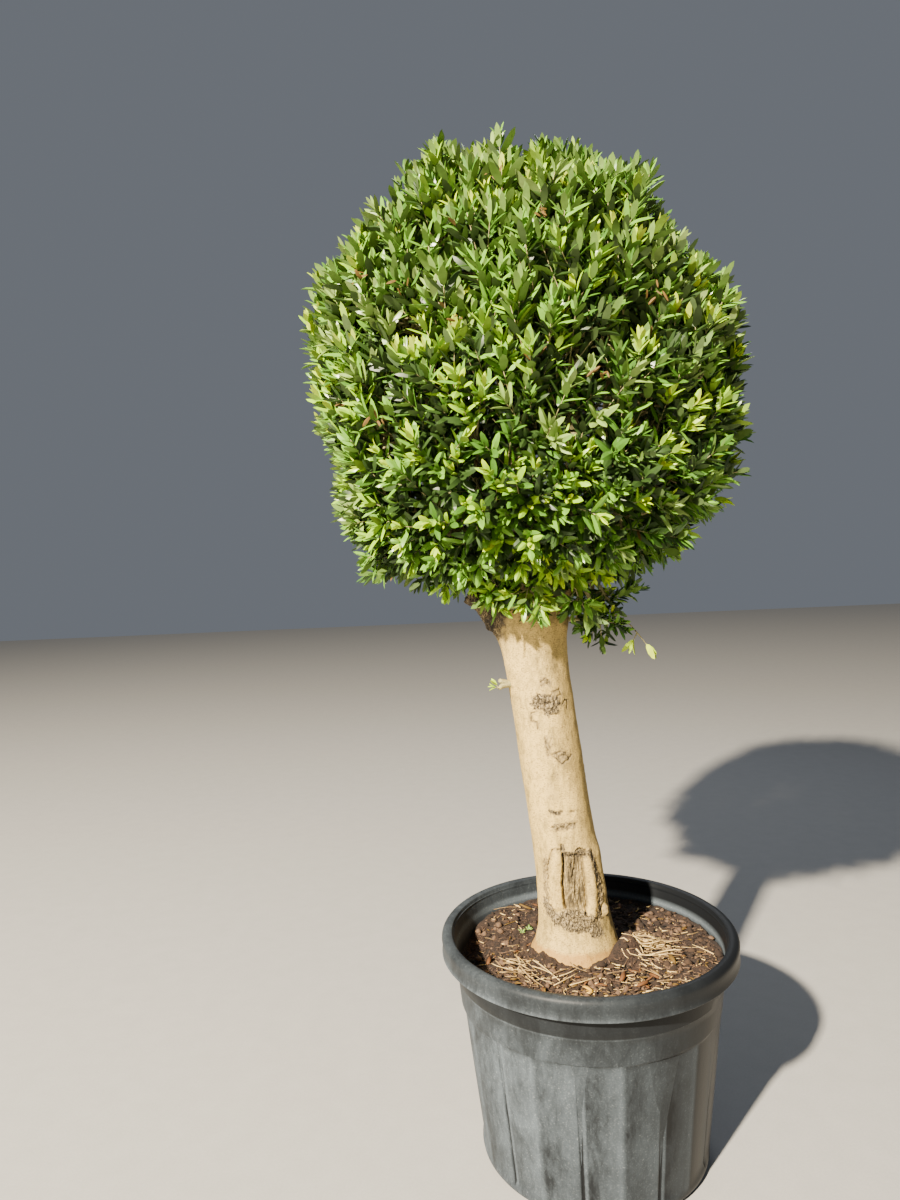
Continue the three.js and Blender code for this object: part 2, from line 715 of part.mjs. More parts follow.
const tree = new THREE.Group();
addMesh(tree, 'pot', potGeometry(), COLOURS.pot);
addMesh(tree, 'soil', toGeometry(toSolid(soilGeometry())), COLOURS.soil);
addMesh(tree, 'trunk', trunkGeometry(), COLOURS.bark);

const boughs = RING.map((bough) => ({ ...bough, curve: ringCurve(bough) }));
boughs.push({ name: 'leader', radius: LEADER_RADIUS, curve: leaderCurve() });
for (const bough of boughs) {
  bough.marks = bough.curve.getPoints(BOUGH_MARKS);
  addMesh(tree, `bough_${bough.name}`, toGeometry(boughSolid(bough)), COLOURS.bark);
}

const leaderEnd = boughs.at(-1).curve.getPoint(1);
const crownStem = new THREE.LineCurve3(
  leaderEnd.clone().setZ(leaderEnd.z + CLEARANCE),
  CROWN_CENTRE,
);
const stemRadius = LEADER_RADIUS * BOUGH_TAPER;
const crown = new Mass(crownSpace, crownStem, stemRadius, boughs, CORE_DETAIL, SEED);
evenDirections(SPRAY_COUNT).forEach((outward) => crown.addSpray(outward));
const boughCutters = boughs.map((bough) => boughSolid(bough, CLEARANCE));
addMesh(tree, 'foliage_crown', crown.geometry(boughCutters), COLOURS.foliage);

const skirtStem = new THREE.LineCurve3(SKIRT_STEM_START, SKIRT_CENTRE);
const skirt = new Mass(skirtSpace, skirtStem, SKIRT_STEM_RADIUS, [], SKIRT_DETAIL, SEED + 1);
evenDirections(SKIRT_SPRAY_COUNT).forEach((outward) => skirt.addSpray(outward));
const trunkCutter = toSolid(trunkGeometry(CLEARANCE));
addMesh(tree, 'foliage_skirt', skirt.geometry([trunkCutter]), COLOURS.foliage);

export default tree;
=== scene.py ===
"""A clipped olive standard in a round nursery pot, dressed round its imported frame.

Metres, +Z up. The front of the tree faces -Y and its trunk leans towards -X.
"""

import logging
import math
from collections.abc import Callable, Sequence
from dataclasses import dataclass, field
from enum import Enum
from functools import partial
from typing import Any

import bpy
import numpy as np
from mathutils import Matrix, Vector, noise


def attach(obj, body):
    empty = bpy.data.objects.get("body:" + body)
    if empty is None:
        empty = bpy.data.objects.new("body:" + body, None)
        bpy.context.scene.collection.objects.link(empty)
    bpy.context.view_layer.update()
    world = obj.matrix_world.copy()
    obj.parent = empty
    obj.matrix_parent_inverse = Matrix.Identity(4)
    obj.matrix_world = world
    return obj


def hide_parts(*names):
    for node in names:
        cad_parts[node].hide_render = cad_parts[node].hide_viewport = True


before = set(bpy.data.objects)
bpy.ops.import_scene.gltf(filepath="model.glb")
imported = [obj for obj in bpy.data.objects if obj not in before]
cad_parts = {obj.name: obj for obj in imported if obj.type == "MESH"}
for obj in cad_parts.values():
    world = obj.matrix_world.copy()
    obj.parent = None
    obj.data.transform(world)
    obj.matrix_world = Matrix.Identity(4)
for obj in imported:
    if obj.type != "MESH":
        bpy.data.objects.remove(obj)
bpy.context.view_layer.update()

Array = np.ndarray
Pair = tuple[Array, Array]
Point = tuple[float, float, float]
Rows = tuple[tuple[float, ...], ...]
Material = bpy.types.Material
Piece = bpy.types.Object
Finishes = Sequence[Material]
Socket = bpy.types.NodeSocket
Rng = np.random.Generator

LOG = logging.getLogger("olive_tree")
GOLDEN_ANGLE = math.pi * (3 - math.sqrt(5))
UP = np.array([0.0, 0.0, 1.0])
# Leaf blades are smooth up to this angle, so that the rib and the rims stay crisp
LEAF_CREASE = math.radians(16)
# A Mix node's sockets for colours, which share their names with its other sockets
MIX_A, MIX_B, MIX_OUT = 6, 7, 2


# Mesh helpers


def unit(vectors: Array) -> Array:
    """Returns the vectors along the last axis at length 1."""
    return vectors / np.maximum(np.linalg.norm(vectors, axis=-1, keepdims=True), 1e-9)


def select_only(piece: Piece) -> None:
    """Makes a piece the only selected object and the active one."""
    bpy.ops.object.select_all(action="DESELECT")
    piece.select_set(True)
    bpy.context.view_layer.objects.active = piece


def placed(name: str, data: bpy.types.ID) -> Piece:
    """Puts a new object with this data in the scene, at the origin."""
    item = bpy.data.objects.new(name, data)
    bpy.context.scene.collection.objects.link(item)
    return item


def mesh_piece(name: str, points: Array, faces: Array, finishes: Finishes, slots: Array | None = None) -> Piece:
    """Makes an object from arrays.

    Args:
        name: Name of the piece.
        points: Vertex places, one row each.
        faces: Vertex numbers, one row a face, all faces with as many corners.
        finishes: Materials in slot order.
        slots: Material slot of each face, or None for the first.

    Returns:
        The new object, at the origin.
    """
    mesh = bpy.data.meshes.new(name)
    mesh.vertices.add(len(points))
    mesh.vertices.foreach_set("co", np.asarray(points, np.float32).ravel())
    mesh.loops.add(faces.size)
    mesh.loops.foreach_set("vertex_index", np.asarray(faces, np.int32).ravel())
    mesh.polygons.add(len(faces))
    starts = np.arange(0, faces.size, faces.shape[1], dtype=np.int32)
    mesh.polygons.foreach_set("loop_start", starts)
    for finish in finishes:
        mesh.materials.append(finish)
    if slots is not None:
        mesh.polygons.foreach_set("material_index", np.asarray(slots, np.int32))
    mesh.update(calc_edges=True)
    mesh.validate()
    return placed(name, mesh)


def joined(parts: Sequence[Pair]) -> Pair:
    """Puts several sets of points and faces into one.

    Args:
        parts: Points and faces of each part, with as many corners to a face.

    Returns:
        The points and faces of all of them.
    """
    starts = np.cumsum([0] + [len(points) for points, _ in parts[:-1]])
    points = np.concatenate([points for points, _ in parts])
    faces = np.concatenate([faces + start for (_, faces), start in zip(parts, starts)])
    return points, faces


def tubes(paths: Array, radii: Array, sides: int) -> Pair:
    """Builds closed tapering tubes along many paths at once.

    Args:
        paths: Points of each path, shaped (tubes, rings, 3).
        radii: Radius at each ring, shaped (tubes, rings).
        sides: Corners of a ring.

    Returns:
        Points and triangles of all the tubes.
    """
    count, rings, _ = paths.shape
    along = unit(np.gradient(paths, axis=1))
    chord = unit(paths[:, -1] - paths[:, 0])
    steep = np.abs(chord[:, 2:3]) > 0.9
    aside = np.where(steep, np.array([1.0, 0.0, 0.0]), UP)[:, None, :]
    across = unit(aside - (aside * along).sum(-1, keepdims=True) * along)
    beside = np.cross(along, across)
    turn = np.arange(sides) * 2 * math.pi / sides
    ring = np.cos(turn)[:, None] * across[:, :, None] + np.sin(turn)[:, None] * beside[:, :, None]
    points = paths[:, :, None] + radii[:, :, None, None] * ring
    corner = np.arange(rings * sides).reshape(rings, sides)
    low, high = corner[:-1], corner[1:]
    low_next, high_next = np.roll(low, -1, 1), np.roll(high, -1, 1)
    walls = np.stack([low, low_next, high_next, low, high_next, high], -1).reshape(-1, 3)
    fan = np.array([[0, i + 1, i] for i in range(1, sides - 1)])
    tip_fan = fan[:, ::-1] + (rings - 1) * sides
    one = np.concatenate([walls, fan, tip_fan])
    faces = one[None] + (np.arange(count) * rings * sides)[:, None, None]
    return points.reshape(-1, 3), faces.reshape(-1, 3)


def bezier(start: Array, bend: Array, end: Array, rings: int) -> Array:
    """Points along quadratic curves.

    Args:
        start: First points, one row a curve.
        bend: Control points.
        end: Last points.
        rings: How many points each curve gets.

    Returns:
        Points shaped (curves, rings, 3).
    """
    share = np.linspace(0, 1, rings)[None, :, None]
    start, bend, end = (np.atleast_2d(row)[:, None] for row in (start, bend, end))
    return (1 - share) ** 2 * start + 2 * share * (1 - share) * bend + share**2 * end


def direction(azimuth: float, elevation: float = 0.0) -> Array:
    """The direction at an azimuth and an elevation in degrees."""
    turn, lift = math.radians(azimuth), math.radians(elevation)
    return np.array([math.cos(turn) * math.cos(lift), math.sin(turn) * math.cos(lift), math.sin(lift)])


def even_directions(count: int) -> Array:
    """Directions spread evenly over a sphere, one row each."""
    height = 1 - 2 * (np.arange(count) + 0.5) / count
    radius = np.sqrt(1 - height**2)
    turn = GOLDEN_ANGLE * np.arange(count)
    return np.stack([radius * np.cos(turn), radius * np.sin(turn), height], -1)


def vectors_of(elements: bpy.types.bpy_prop_collection, name: str = "co") -> Array:
    """Reads a vector of each vertex or face, one row each."""
    values = np.empty(len(elements) * 3, np.float32)
    elements.foreach_get(name, values)
    return values.reshape(-1, 3).astype(float)


def store(mesh: bpy.types.Mesh, places: Array, **layers: Array) -> None:
    """Writes a mesh's vertex places, and values at the vertices for its finish.

    Args:
        mesh: The mesh.
        places: Vertex places, one row each.
        layers: A value for each vertex, by the name of the attribute that the finish reads.
    """
    mesh.vertices.foreach_set("co", places.astype(np.float32).ravel())
    for name, values in layers.items():
        layer = mesh.attributes.new(name, "FLOAT", "POINT")
        layer.data.foreach_set("value", values.astype(np.float32))
    mesh.update()


def in_order(mesh: bpy.types.Mesh) -> None:
    """Numbers a mesh's vertices and faces by where they are.

    A boolean cut numbers them in another order on each run. Only the shape is kept, so this comes
    before values at the vertices and sharp edges.

    Args:
        mesh: The mesh.
    """
    places = vectors_of(mesh.vertices)
    order = np.lexsort(places.T)
    rank = np.argsort(order)
    faces = []
    for face in mesh.polygons:
        corners = rank[list(face.vertices)]
        faces.append(np.roll(corners, -corners.argmin()).tolist())
    mesh.clear_geometry()
    mesh.from_pydata(places[order].tolist(), [], sorted(faces))


def smoothstep(value: Array, low: float, high: float) -> Array:
    """Rises smoothly from 0 at low to 1 at high."""
    share = np.clip((value - low) / (high - low), 0, 1)
    return share * share * (3 - 2 * share)


def noise_at(places: Array, size: float, octaves: int = 3, shift: float = 0.0) -> Array:
    """Fractal noise at many places.

    Args:
        places: Points, one row each, in metres.
        size: Size of the largest lumps in metres.
        octaves: How many finer layers it has.
        shift: Moves the pattern, so that two of them differ.

    Returns:
        About -1 to 1 for each point.
    """
    scaled = (places / size + shift).tolist()
    return np.array([noise.fractal(Vector(point), 0.9, 2.1, octaves) for point in scaled])


# Finishes


def linear(hex_colour: str) -> tuple[float, float, float, float]:
    """Turns an sRGB hex colour into linear red, green, blue and alpha."""
    channels = (int(hex_colour[i : i + 2], 16) / 255 for i in (1, 3, 5))
    values = (c / 12.92 if c <= 0.04045 else ((c + 0.055) / 1.055) ** 2.4 for c in channels)
    return (*values, 1.0)


def add_node(
    tree: bpy.types.NodeTree,
    kind: str,
    settings: dict[str | int, Any] | None = None,
    links: dict[str | int, Socket] | None = None,
    stops: Sequence[tuple[float, float]] = (),
    out: str | int = 0,
) -> Socket:
    """Adds a node with its settings and links.

    Args:
        tree: Node tree of a material.
        kind: Node type without its ShaderNode prefix.
        settings: Values by property name, socket name or socket number, and colours as sRGB hex.
        links: Sockets that feed this node, by socket name or number.
        stops: Places and grey values on a colour ramp.
        out: Name or number of the output that is wanted. A Mix node always mixes colours.

    Returns:
        That output's socket.
    """
    node = tree.nodes.new("ShaderNode" + kind)
    if kind == "Mix":
        node.data_type, out = "RGBA", MIX_OUT
    for key, value in (settings or {}).items():
        if isinstance(value, str) and value.startswith("#"):
            value = linear(value)
        if isinstance(key, str) and hasattr(node, key):
            setattr(node, key, value)
        else:
            node.inputs[key].default_value = value
    for key, source in (links or {}).items():
        tree.links.new(source, node.inputs[key])
    if stops:
        elements = node.color_ramp.elements
        while len(elements) < len(stops):
            elements.new(1.0)
        for element, (place, value) in zip(elements, stops):
            element.position = place
            element.color = (value, value, value, 1.0)
    return node.outputs[out]


@dataclass(frozen=True)
class Finish:
    """What the finishes share: a principled shader fed by patterns on Object coordinates."""

    name: str = "finish"
    roughness: float = 0.5

    def start(self) -> tuple[Material, Callable[..., Socket], Socket]:
        """Starts a material.

        Returns:
            The material, add_node for its tree, and the Object coordinates.
        """
        material = bpy.data.materials.new(self.name)
        material.use_nodes = True
        node = partial(add_node, material.node_tree)
        return material, node, node("TexCoord", out="Object")

    def end(self, material: Material, **inputs: Socket | float) -> Material:
        """Ends a material.

        Args:
            material: The material.
            inputs: What the shader's sockets get, by their names with _ for a space.

        Returns:
            The material.
        """
        shader = material.node_tree.nodes["Principled BSDF"]
        shader.inputs["Roughness"].default_value = self.roughness
        for name, value in inputs.items():
            socket = shader.inputs[name.replace("_", " ")]
            if isinstance(value, float):
                socket.default_value = value
            else:
                material.node_tree.links.new(value, socket)
        return material


@dataclass(frozen=True)
class MouldedPolypropylene(Finish):
    """Black polypropylene, injection moulded: satin where it is clean, chalky grey where sun, dust and handling have
    scuffed it, with pale dust along each ledge. Painted light makes its chalk paler on the left side and across each
    facet, and painted shade darkens its grooves."""

    name: str = "moulded_polypropylene"
    roughness: float = 0.4
    shine: float = 0.14
    base: str = "#131518"
    chalk: str = "#535c64"
    dust: str = "#9aa2a8"
    blotch_mm: float = 85.0
    scuff_mm: float = 11.0
    speck_mm: float = 3.2
    height: float = 0.439
    # How chalky it is by share of its height: foot, panels, ledge, band, flange and bead
    wear: Rows = (
        (0.0, 1.0), (0.04, 0.72), (0.45, 0.86), (0.66, 0.92), (0.7, 0.6), (0.8, 0.56), (0.806, 1.2),
        (0.813, 0.14), (0.905, 0.08), (0.911, 1.0), (0.916, 0.9), (0.928, 0.45), (0.95, 0.34),
    )

    def make(self) -> Material:
        """Returns the material."""
        material, node, place = self.start()
        # Water and hands run down the wall, so the patterns are stretched along it
        run = node("Mapping", {"Scale": (1.0, 1.0, 0.55)}, {"Vector": place})
        blotch = node(
            "TexNoise",
            {"Scale": 1000 / self.blotch_mm, "Detail": 9.0, "Roughness": 0.66, "Distortion": 0.5}, {"Vector": run},
        )
        drawn = node("Mapping", {"Scale": (1.0, 1.0, 0.28)}, {"Vector": place})
        scuff = node(
            "TexNoise",
            {"Scale": 1000 / self.scuff_mm, "Detail": 5.0, "Roughness": 0.7, "Distortion": 0.8}, {"Vector": drawn},
        )
        speck = node("TexNoise", {"Scale": 1000 / self.speck_mm, "Detail": 3.0}, {"Vector": place})
        level = node("SeparateXYZ", {}, {0: place}, out="Z")
        share = node("Math", {"operation": "DIVIDE", 1: self.height}, {0: level})
        wear = node("ValToRGB", {}, {0: share}, self.wear)
        both = node("Math", {"operation": "MULTIPLY_ADD", 1: 2.2}, {0: blotch, 2: scuff})
        pattern = node("MapRange", {"From Min": 1.3, "From Max": 1.95, "To Min": 0.3}, {"Value": both})
        # The chalk is painted paler towards the lit left side and fades to clean, darker plastic on the shaded right
        # side: painted light and shade
        across = node("SeparateXYZ", {}, {0: place}, out="X")
        side = node(
            "MapRange", {"From Min": -0.22, "From Max": 0.2, "To Min": 1.35, "To Max": 0.02}, {"Value": across}
        )
        wear_and_side_light = node("Math", {"operation": "MULTIPLY"}, {0: wear, 1: side})
        pattern_and_side_light = node("Math", {"operation": "MULTIPLY"}, {0: pattern, 1: wear_and_side_light})
        # Ridges rub pale; the grooves are painted dark as shade, and each facet is painted paler towards its far edge
        # as light
        ridge = node("Attribute", {"attribute_name": "ridge"}, out="Fac")
        # Wear, together with the painted side light, the painted groove shade and the painted facet light
        worn = node("Math", {"operation": "MULTIPLY_ADD", "use_clamp": True, 1: 0.55}, {0: ridge, 2: pattern_and_side_light})
        chalky = node("Mix", {MIX_A: self.base, MIX_B: self.chalk}, {0: worn})
        marks = node("ValToRGB", {}, {0: speck}, [(0.5, 0.0), (0.66, 0.12), (0.77, 0.6)])
        shown = node("Math", {"operation": "MULTIPLY", "use_clamp": True}, {0: marks, 1: worn})
        dusty = node("Mix", {MIX_B: self.dust}, {0: shown, MIX_A: chalky})
        gloss = node("MapRange", {"To Min": self.roughness, "To Max": self.roughness + 0.3}, {"Value": worn})
        bump = node("Bump", {"Strength": 0.5, "Distance": 0.0004}, {"Height": scuff})
        return self.end(material, Base_Color=dusty, Roughness=gloss, Normal=bump, Specular_IOR_Level=self.shine)


@dataclass(frozen=True)
class Grained(Finish):
    """A grained stuff with lumps of two sizes: compost, bark, straw or painted board."""

    dark: str = "#2f2118"
    light: str = "#6b4f38"
    lump_mm: float = 12.0
    grain_mm: float = 2.2
    depth: float = 0.0012

    def make(self) -> Material:
        """Returns the material."""
        material, node, place = self.start()
        lumps = node("TexNoise", {"Scale": 1000 / self.lump_mm, "Detail": 5.0, "Roughness": 0.65}, {"Vector": place})
        grains = node("TexNoise", {"Scale": 1000 / self.grain_mm, "Detail": 2.0}, {"Vector": place})
        both = node("Math", {"operation": "ADD"}, {0: lumps, 1: grains})
        share = node("MapRange", {"From Min": 0.76, "From Max": 1.24}, {"Value": both})
        colour = node("Mix", {MIX_A: self.dark, MIX_B: self.light}, {0: share})
        bump = node("Bump", {"Distance": self.depth}, {"Height": both})
        return self.end(material, Base_Color=colour, Normal=bump)


@dataclass(frozen=True)
class OliveBark(Finish):
    """Bark of a young olive stem: smooth, cream and faintly mottled, cracked into dark flakes where it is old or was
    hurt, and stained tan where the soil splashes it. Painted shade darkens its right side, its head under the tuft and
    its wood inside the crown."""

    name: str = "olive_bark"
    roughness: float = 0.8
    cream: str = "#d7b86a"
    mottle: str = "#857443"
    pore: str = "#5c4c31"
    crack: str = "#231a12"
    flake: str = "#ab9871"
    stain: str = "#a3742f"
    soil_level: float = 0.393
    broad_mm: float = 42.0
    middle_mm: float = 11.0
    pore_mm: float = 3.2
    flake_mm: float = 6.5

    def make(self) -> Material:
        """Returns the material."""
        material, node, place = self.start()
        # Bark grows lengthwise, so its mottling is drawn out along the stem
        grown = node("Mapping", {"Scale": (1.0, 1.0, 0.5)}, {"Vector": place})
        broad = node(
            "TexNoise",
            {"Scale": 1000 / self.broad_mm, "Detail": 6.0, "Roughness": 0.6, "Distortion": 0.4}, {"Vector": grown},
        )
        middle = node(
            "TexNoise", {"Scale": 1000 / self.middle_mm, "Detail": 5.0, "Roughness": 0.7}, {"Vector": grown}
        )
        # Pores lie across it
        ringed = node("Mapping", {"Scale": (0.75, 0.75, 1.6)}, {"Vector": place})
        fine = node("TexNoise", {"Scale": 1000 / self.pore_mm, "Detail": 4.0, "Roughness": 0.75}, {"Vector": ringed})
        both = node("Math", {"operation": "MULTIPLY_ADD", 1: 0.8}, {0: broad, 2: middle})
        mottled = node("MapRange", {"From Min": 0.84, "From Max": 1.16, "To Max": 0.95}, {"Value": both})
        clean = node("Mix", {MIX_A: self.cream, MIX_B: self.mottle}, {0: mottled})
        pores = node("ValToRGB", {}, {0: fine}, [(0.52, 0.0), (0.64, 0.85)])
        pored = node("Mix", {MIX_B: self.pore}, {0: pores, MIX_A: clean})
        # The splash line wavers with the mottling
        level = node("SeparateXYZ", {}, {0: place}, out="Z")
        wavered = node("Math", {"operation": "MULTIPLY_ADD", 1: 0.035}, {0: broad, 2: level})
        splash = node(
            "MapRange",
            {"From Min": self.soil_level + 0.038, "From Max": self.soil_level + 0.046, "To Min": 0.7, "To Max": 0.0},
            {"Value": wavered},
        )
        stained = node("Mix", {MIX_B: self.stain}, {0: splash, MIX_A: pored})
        rough = node("Attribute", {"attribute_name": "rough"}, out="Fac")
        grit = node("MapRange", {"From Min": 0.36, "From Max": 0.6}, {"Value": fine})
        scaly = node("Mix", {MIX_A: self.pore, MIX_B: self.flake}, {0: grit})
        partly = node("Math", {"operation": "MULTIPLY", 1: 0.9}, {0: rough})
        flaked = node("Mix", {}, {0: partly, MIX_A: stained, MIX_B: scaly})
        # Wandering level lines make the cracks between flakes
        wander = node(
            "TexNoise",
            {"Scale": 1000 / self.flake_mm, "Detail": 4.0, "Roughness": 0.62, "Distortion": 1.3}, {"Vector": grown},
        )
        lines = node("ValToRGB", {}, {0: wander}, [(0.45, 0.0), (0.49, 1.0), (0.515, 1.0), (0.55, 0.0)])
        steep = node("MapRange", {"From Min": 0.3, "From Max": 0.9}, {"Value": rough})
        shown = node("Math", {"operation": "MULTIPLY"}, {0: lines, 1: steep})
        cracked = node("Mix", {MIX_B: self.crack}, {0: shown, MIX_A: flaked})
        # Dark places: crevices, dead wood and old bark, with painted shade on the trunk's right side, on the head under
        # the tuft and inside the crown
        hollow = node("Attribute", {"attribute_name": "hollow"}, out="Fac")
        colour = node("Mix", {MIX_B: self.crack}, {0: hollow, MIX_A: cracked})
        relief = node("Math", {"operation": "MULTIPLY_ADD", 1: 0.6}, {0: fine, 2: middle})
        carved = node("Math", {"operation": "MULTIPLY_ADD", 1: -0.9}, {0: shown, 2: relief})
        bump = node("Bump", {"Distance": 0.0018}, {"Height": carved})
        return self.end(material, Base_Color=colour, Normal=bump)


@dataclass(frozen=True)
class LeafSurface(Finish):
    """One face of an olive leaf: a leathery waxed skin above, felted with pale scales below.
    Its wax shines softly, and its green is a little uneven."""

    colour: str = "#55702f"
    shine: float = 0.3
    shade: float = 0.78
    patch_mm: float = 14.0

    def make(self) -> Material:
        """Returns the material."""
        material, node, place = self.start()
        darker = (*(c * self.shade for c in linear(self.colour)[:3]), 1.0)
        patches = node(
            "TexNoise", {"Scale": 1000 / self.patch_mm, "Detail": 3.0, "Roughness": 0.6}, {"Vector": place}
        )
        share = node("MapRange", {"From Min": 0.35, "From Max": 0.65}, {"Value": patches})
        colour = node("Mix", {MIX_A: self.colour, MIX_B: darker}, {0: share})
        return self.end(material, Base_Color=colour, Specular_IOR_Level=self.shine)


class Tint(Enum):
    """Leaf colours: the hex colour of the upper face and of the underside, and their roughness."""

    MATURE = ("#689830", "#6f9040", 0.27)
    DEEP = ("#467024", "#5a7834", 0.26)
    GREYED = ("#7a9846", "#7c944f", 0.3)
    BRIGHT = ("#8cba1a", "#80a230", 0.28)
    YOUNG = ("#b0d014", "#acc02e", 0.34)
    DEAD = ("#664e20", "#725c30", 0.7)
    LITTER = ("#684426", "#6c4a2c", 0.75)
    # Painted shade: a darker copy of the green, for leaves deep in the crown, low down, on its right and in the skirt
    SHADED = ("#2d441c", "#44582e", 0.42)
    YELLOWED = ("#cfa238", "#c6a658", 0.6)

    def finishes(self) -> list[Material]:
        """Returns the materials of the upper face and the underside."""
        above, below, roughness = self.value
        name = "leaf_" + self.name.lower()
        return [
            LeafSurface(name, roughness, above).make(),
            LeafSurface(name + "_under", roughness + 0.25, below).make(),
        ]


# Each tint's number, by which the leaves are dealt out
MATURE, DEEP, GREYED, BRIGHT, YOUNG, DEAD, LITTER, SHADED, YELLOWED = range(len(Tint))


# The tree's form, as the solids have it


@dataclass
class Trunk:
    """The stem from the soil to its head: line of its middle, and its radius all round."""

    base: float = 0.3933
    top: float = 1.075
    # Its middle passes this far to the side at this height, and leans by these shares of a climb
    passes: tuple[float, float] = (-0.024, 0.482)
    lean_side: float = -0.1185
    lean_back: float = 0.02
    waist_radius: float = 0.062
    waist_height: float = 0.8
    # How far the foot flares and the head swells, and over what height each dies away
    flare: float = 0.022
    flare_height: float = 0.045
    swell: float = 0.019
    swell_height: float = 0.05

    def centre(self, height: Array) -> Array:
        """Places of the stem's middle at these heights."""
        height = np.asarray(height, float)
        side = self.passes[0] + self.lean_side * (height - self.passes[1])
        return np.stack([side, self.lean_back * (height - self.base), height], -1)

    def radius(self, height: Array, angle: Array) -> Array:
        """Radius at heights and angles, in metres and radians."""
        leftward = (1 - np.cos(angle)) / 2
        waist = self.waist_radius + 0.004 * ((height - self.waist_height) / 0.35) ** 2
        flare = self.flare + 0.017 * (leftward - 0.35)
        flare = flare * np.exp(-np.maximum(height - self.base, 0) / self.flare_height)
        head = self.swell * (0.75 + 0.5 * leftward)
        head = head * np.exp(-(((self.top - height) / self.swell_height) ** 2))
        lobes = 0.0016 * np.cos(3 * angle + 0.8) + 0.0011 * np.cos(5 * angle + height / 0.14)
        return waist + flare + head + lobes

    def body(self, sides: int = 96, rings: int = 150) -> Pair:
        """Builds the stem as one closed tube.

        Args:
            sides: Corners of a ring.
            rings: Rings from its foot to its head.

        Returns:
            Points and triangles.
        """
        heights = np.linspace(self.base - 0.02, self.top + 0.004, rings)
        points, faces = tubes(self.centre(heights)[None], np.ones((1, rings)), sides)
        turn = np.tile(np.arange(sides) * 2 * math.pi / sides, rings)
        level = np.repeat(heights, sides)
        reach = self.radius(level, turn)[:, None]
        out = np.stack([np.cos(turn), np.sin(turn), np.zeros_like(turn)], -1)
        return self.centre(level) + reach * out, faces[:, ::-1]


@dataclass
class CrownForm:
    """The clipped outline: a squarish ball with tufts and dips, hollow round the trunk's head."""

    centre: Array = field(default_factory=lambda: np.array([-0.095, 0.012, 1.492]))
    half_width: float = 0.417
    up: float = 0.445
    down: float = 0.394
    core_share: float = 0.84
    hollow_spread: float = 0.5
    hollow_depth: float = 0.24
    leaf_reach: float = 1.06
    # How square the ball is above and below its middle
    power_above: float = 2.25
    power_below: float = 2.56
    farthest: float = 1.2
    halvings: int = 24
    # Azimuth and elevation in degrees, spread in radians, height
    tufts: Rows = (
        (-129, 56, 0.22, 0.075), (-144, 47, 0.2, -0.145), (-99, 63, 0.2, -0.055), (-186, 41, 0.17, -0.09),
        (-32, 35, 0.3, -0.14), (-30, 17, 0.2, 0.075), (-172, -47, 0.21, 0.075),
        (-166, -16, 0.3, -0.1), (30, 42, 0.3, -0.08), (75, 20, 0.28, 0.04),
        (120, -20, 0.3, -0.06), (140, 48, 0.26, 0.05),
    )

    def level(self, points: Array) -> Array:
        """How far out points lie: 1 on the outline and less inside."""
        offset = np.asarray(points, float) - self.centre
        above = offset[..., 2] > 0
        height = np.abs(offset[..., 2]) / np.where(above, self.up, self.down)
        power = np.where(above, self.power_above, self.power_below)
        across = np.abs(offset[..., :2]) / self.half_width
        level = ((across**power[..., None]).sum(-1) + height**power) ** (1 / power)
        heading = unit(offset)
        swell = np.ones(level.shape)
        for azimuth, elevation, spread, rise in self.tufts:
            turn = np.arccos(np.clip(heading @ direction(azimuth, elevation), -1, 1)) / spread
            swell += rise * np.exp(-(turn**2))
        return level / swell

    def reach(self, starts: Array, headings: Array, limits: Array) -> Array:
        """How far rays run before the level rises above a limit.

        Args:
            starts: Where the rays start, inside the limit.
            headings: Their directions at length 1.
            limits: The level at which each ray stops.

        Returns:
            Lengths in metres.
        """
        near = np.zeros(len(headings))
        far = np.full(len(headings), self.farthest)
        for _ in range(self.halvings):
            middle = (near + far) / 2
            inside = self.level(starts + headings * middle[:, None]) < limits
            near, far = np.where(inside, middle, near), np.where(inside, far, middle)
        return near

    def places(self, headings: Array, limits: Array) -> Array:
        """Where rays from the crown's middle rise above a limit, one row each."""
        return self.centre + headings * self.reach(self.centre, headings, limits)[:, None]

    def hollow(self, headings: Array) -> Array:
        """How much less far out the twigs start on the underside, round the trunk's head."""
        turn = np.arccos(np.clip(-headings[:, 2], -1, 1)) / self.hollow_spread
        return self.hollow_depth * np.exp(-(turn**2))

    def core_point(self, aim: Array, sunk: float) -> Array:
        """Where a bough that heads for a point ends, a little way inside the dense core."""
        heading = unit(aim - self.centre)[None]
        wave = heading[0] * np.array([7, 6, 8])
        bumps = math.sin(wave[0] + 2) * math.sin(wave[1] + 1) * math.sin(wave[2])
        share = self.core_share * (1 + 0.02 * bumps) - self.hollow(heading)
        return self.centre + heading[0] * (self.reach(self.centre, heading, share)[0] - sunk)


@dataclass
class Bough:
    """A tapering limb from the trunk's head to its end inside the crown."""

    name: str
    azimuth: float
    radius: float
    path: Array

    def body(self, sides: int = 24) -> Pair:
        """Returns the limb's points and triangles."""
        share = np.linspace(0, 1, len(self.path))
        # A little wider at its foot, where it grows out of the head
        radii = self.radius * (1 - 0.3 * share + 0.18 * np.exp(-share / 0.08))
        return tubes(self.path[None], radii[None], sides)


@dataclass(frozen=True)
class Mark:
    """A line on the bark, in millimetres round the trunk from its front (to the right) and up.

    The bark moves by rise along it, falling off over width. Dark is how black it is inside, and
    rough how cracked the bark is along it.
    """

    width: float
    rise: float
    dark: float
    rough: float
    line: Rows

    def distance(self, across: Array, height: Array) -> Array:
        """How far places lie from the line, in millimetres."""
        nearest = np.full(len(across), np.inf)
        ends = self.line[1:] or self.line
        for (x0, z0), (x1, z1) in zip(self.line, ends):
            run, climb = x1 - x0, z1 - z0
            span = max(run * run + climb * climb, 1e-9)
            share = np.clip(((across - x0) * run + (height - z0) * climb) / span, 0, 1)
            gap = np.hypot(across - x0 - share * run, height - z0 - share * climb)
            nearest = np.minimum(nearest, gap)
        return nearest


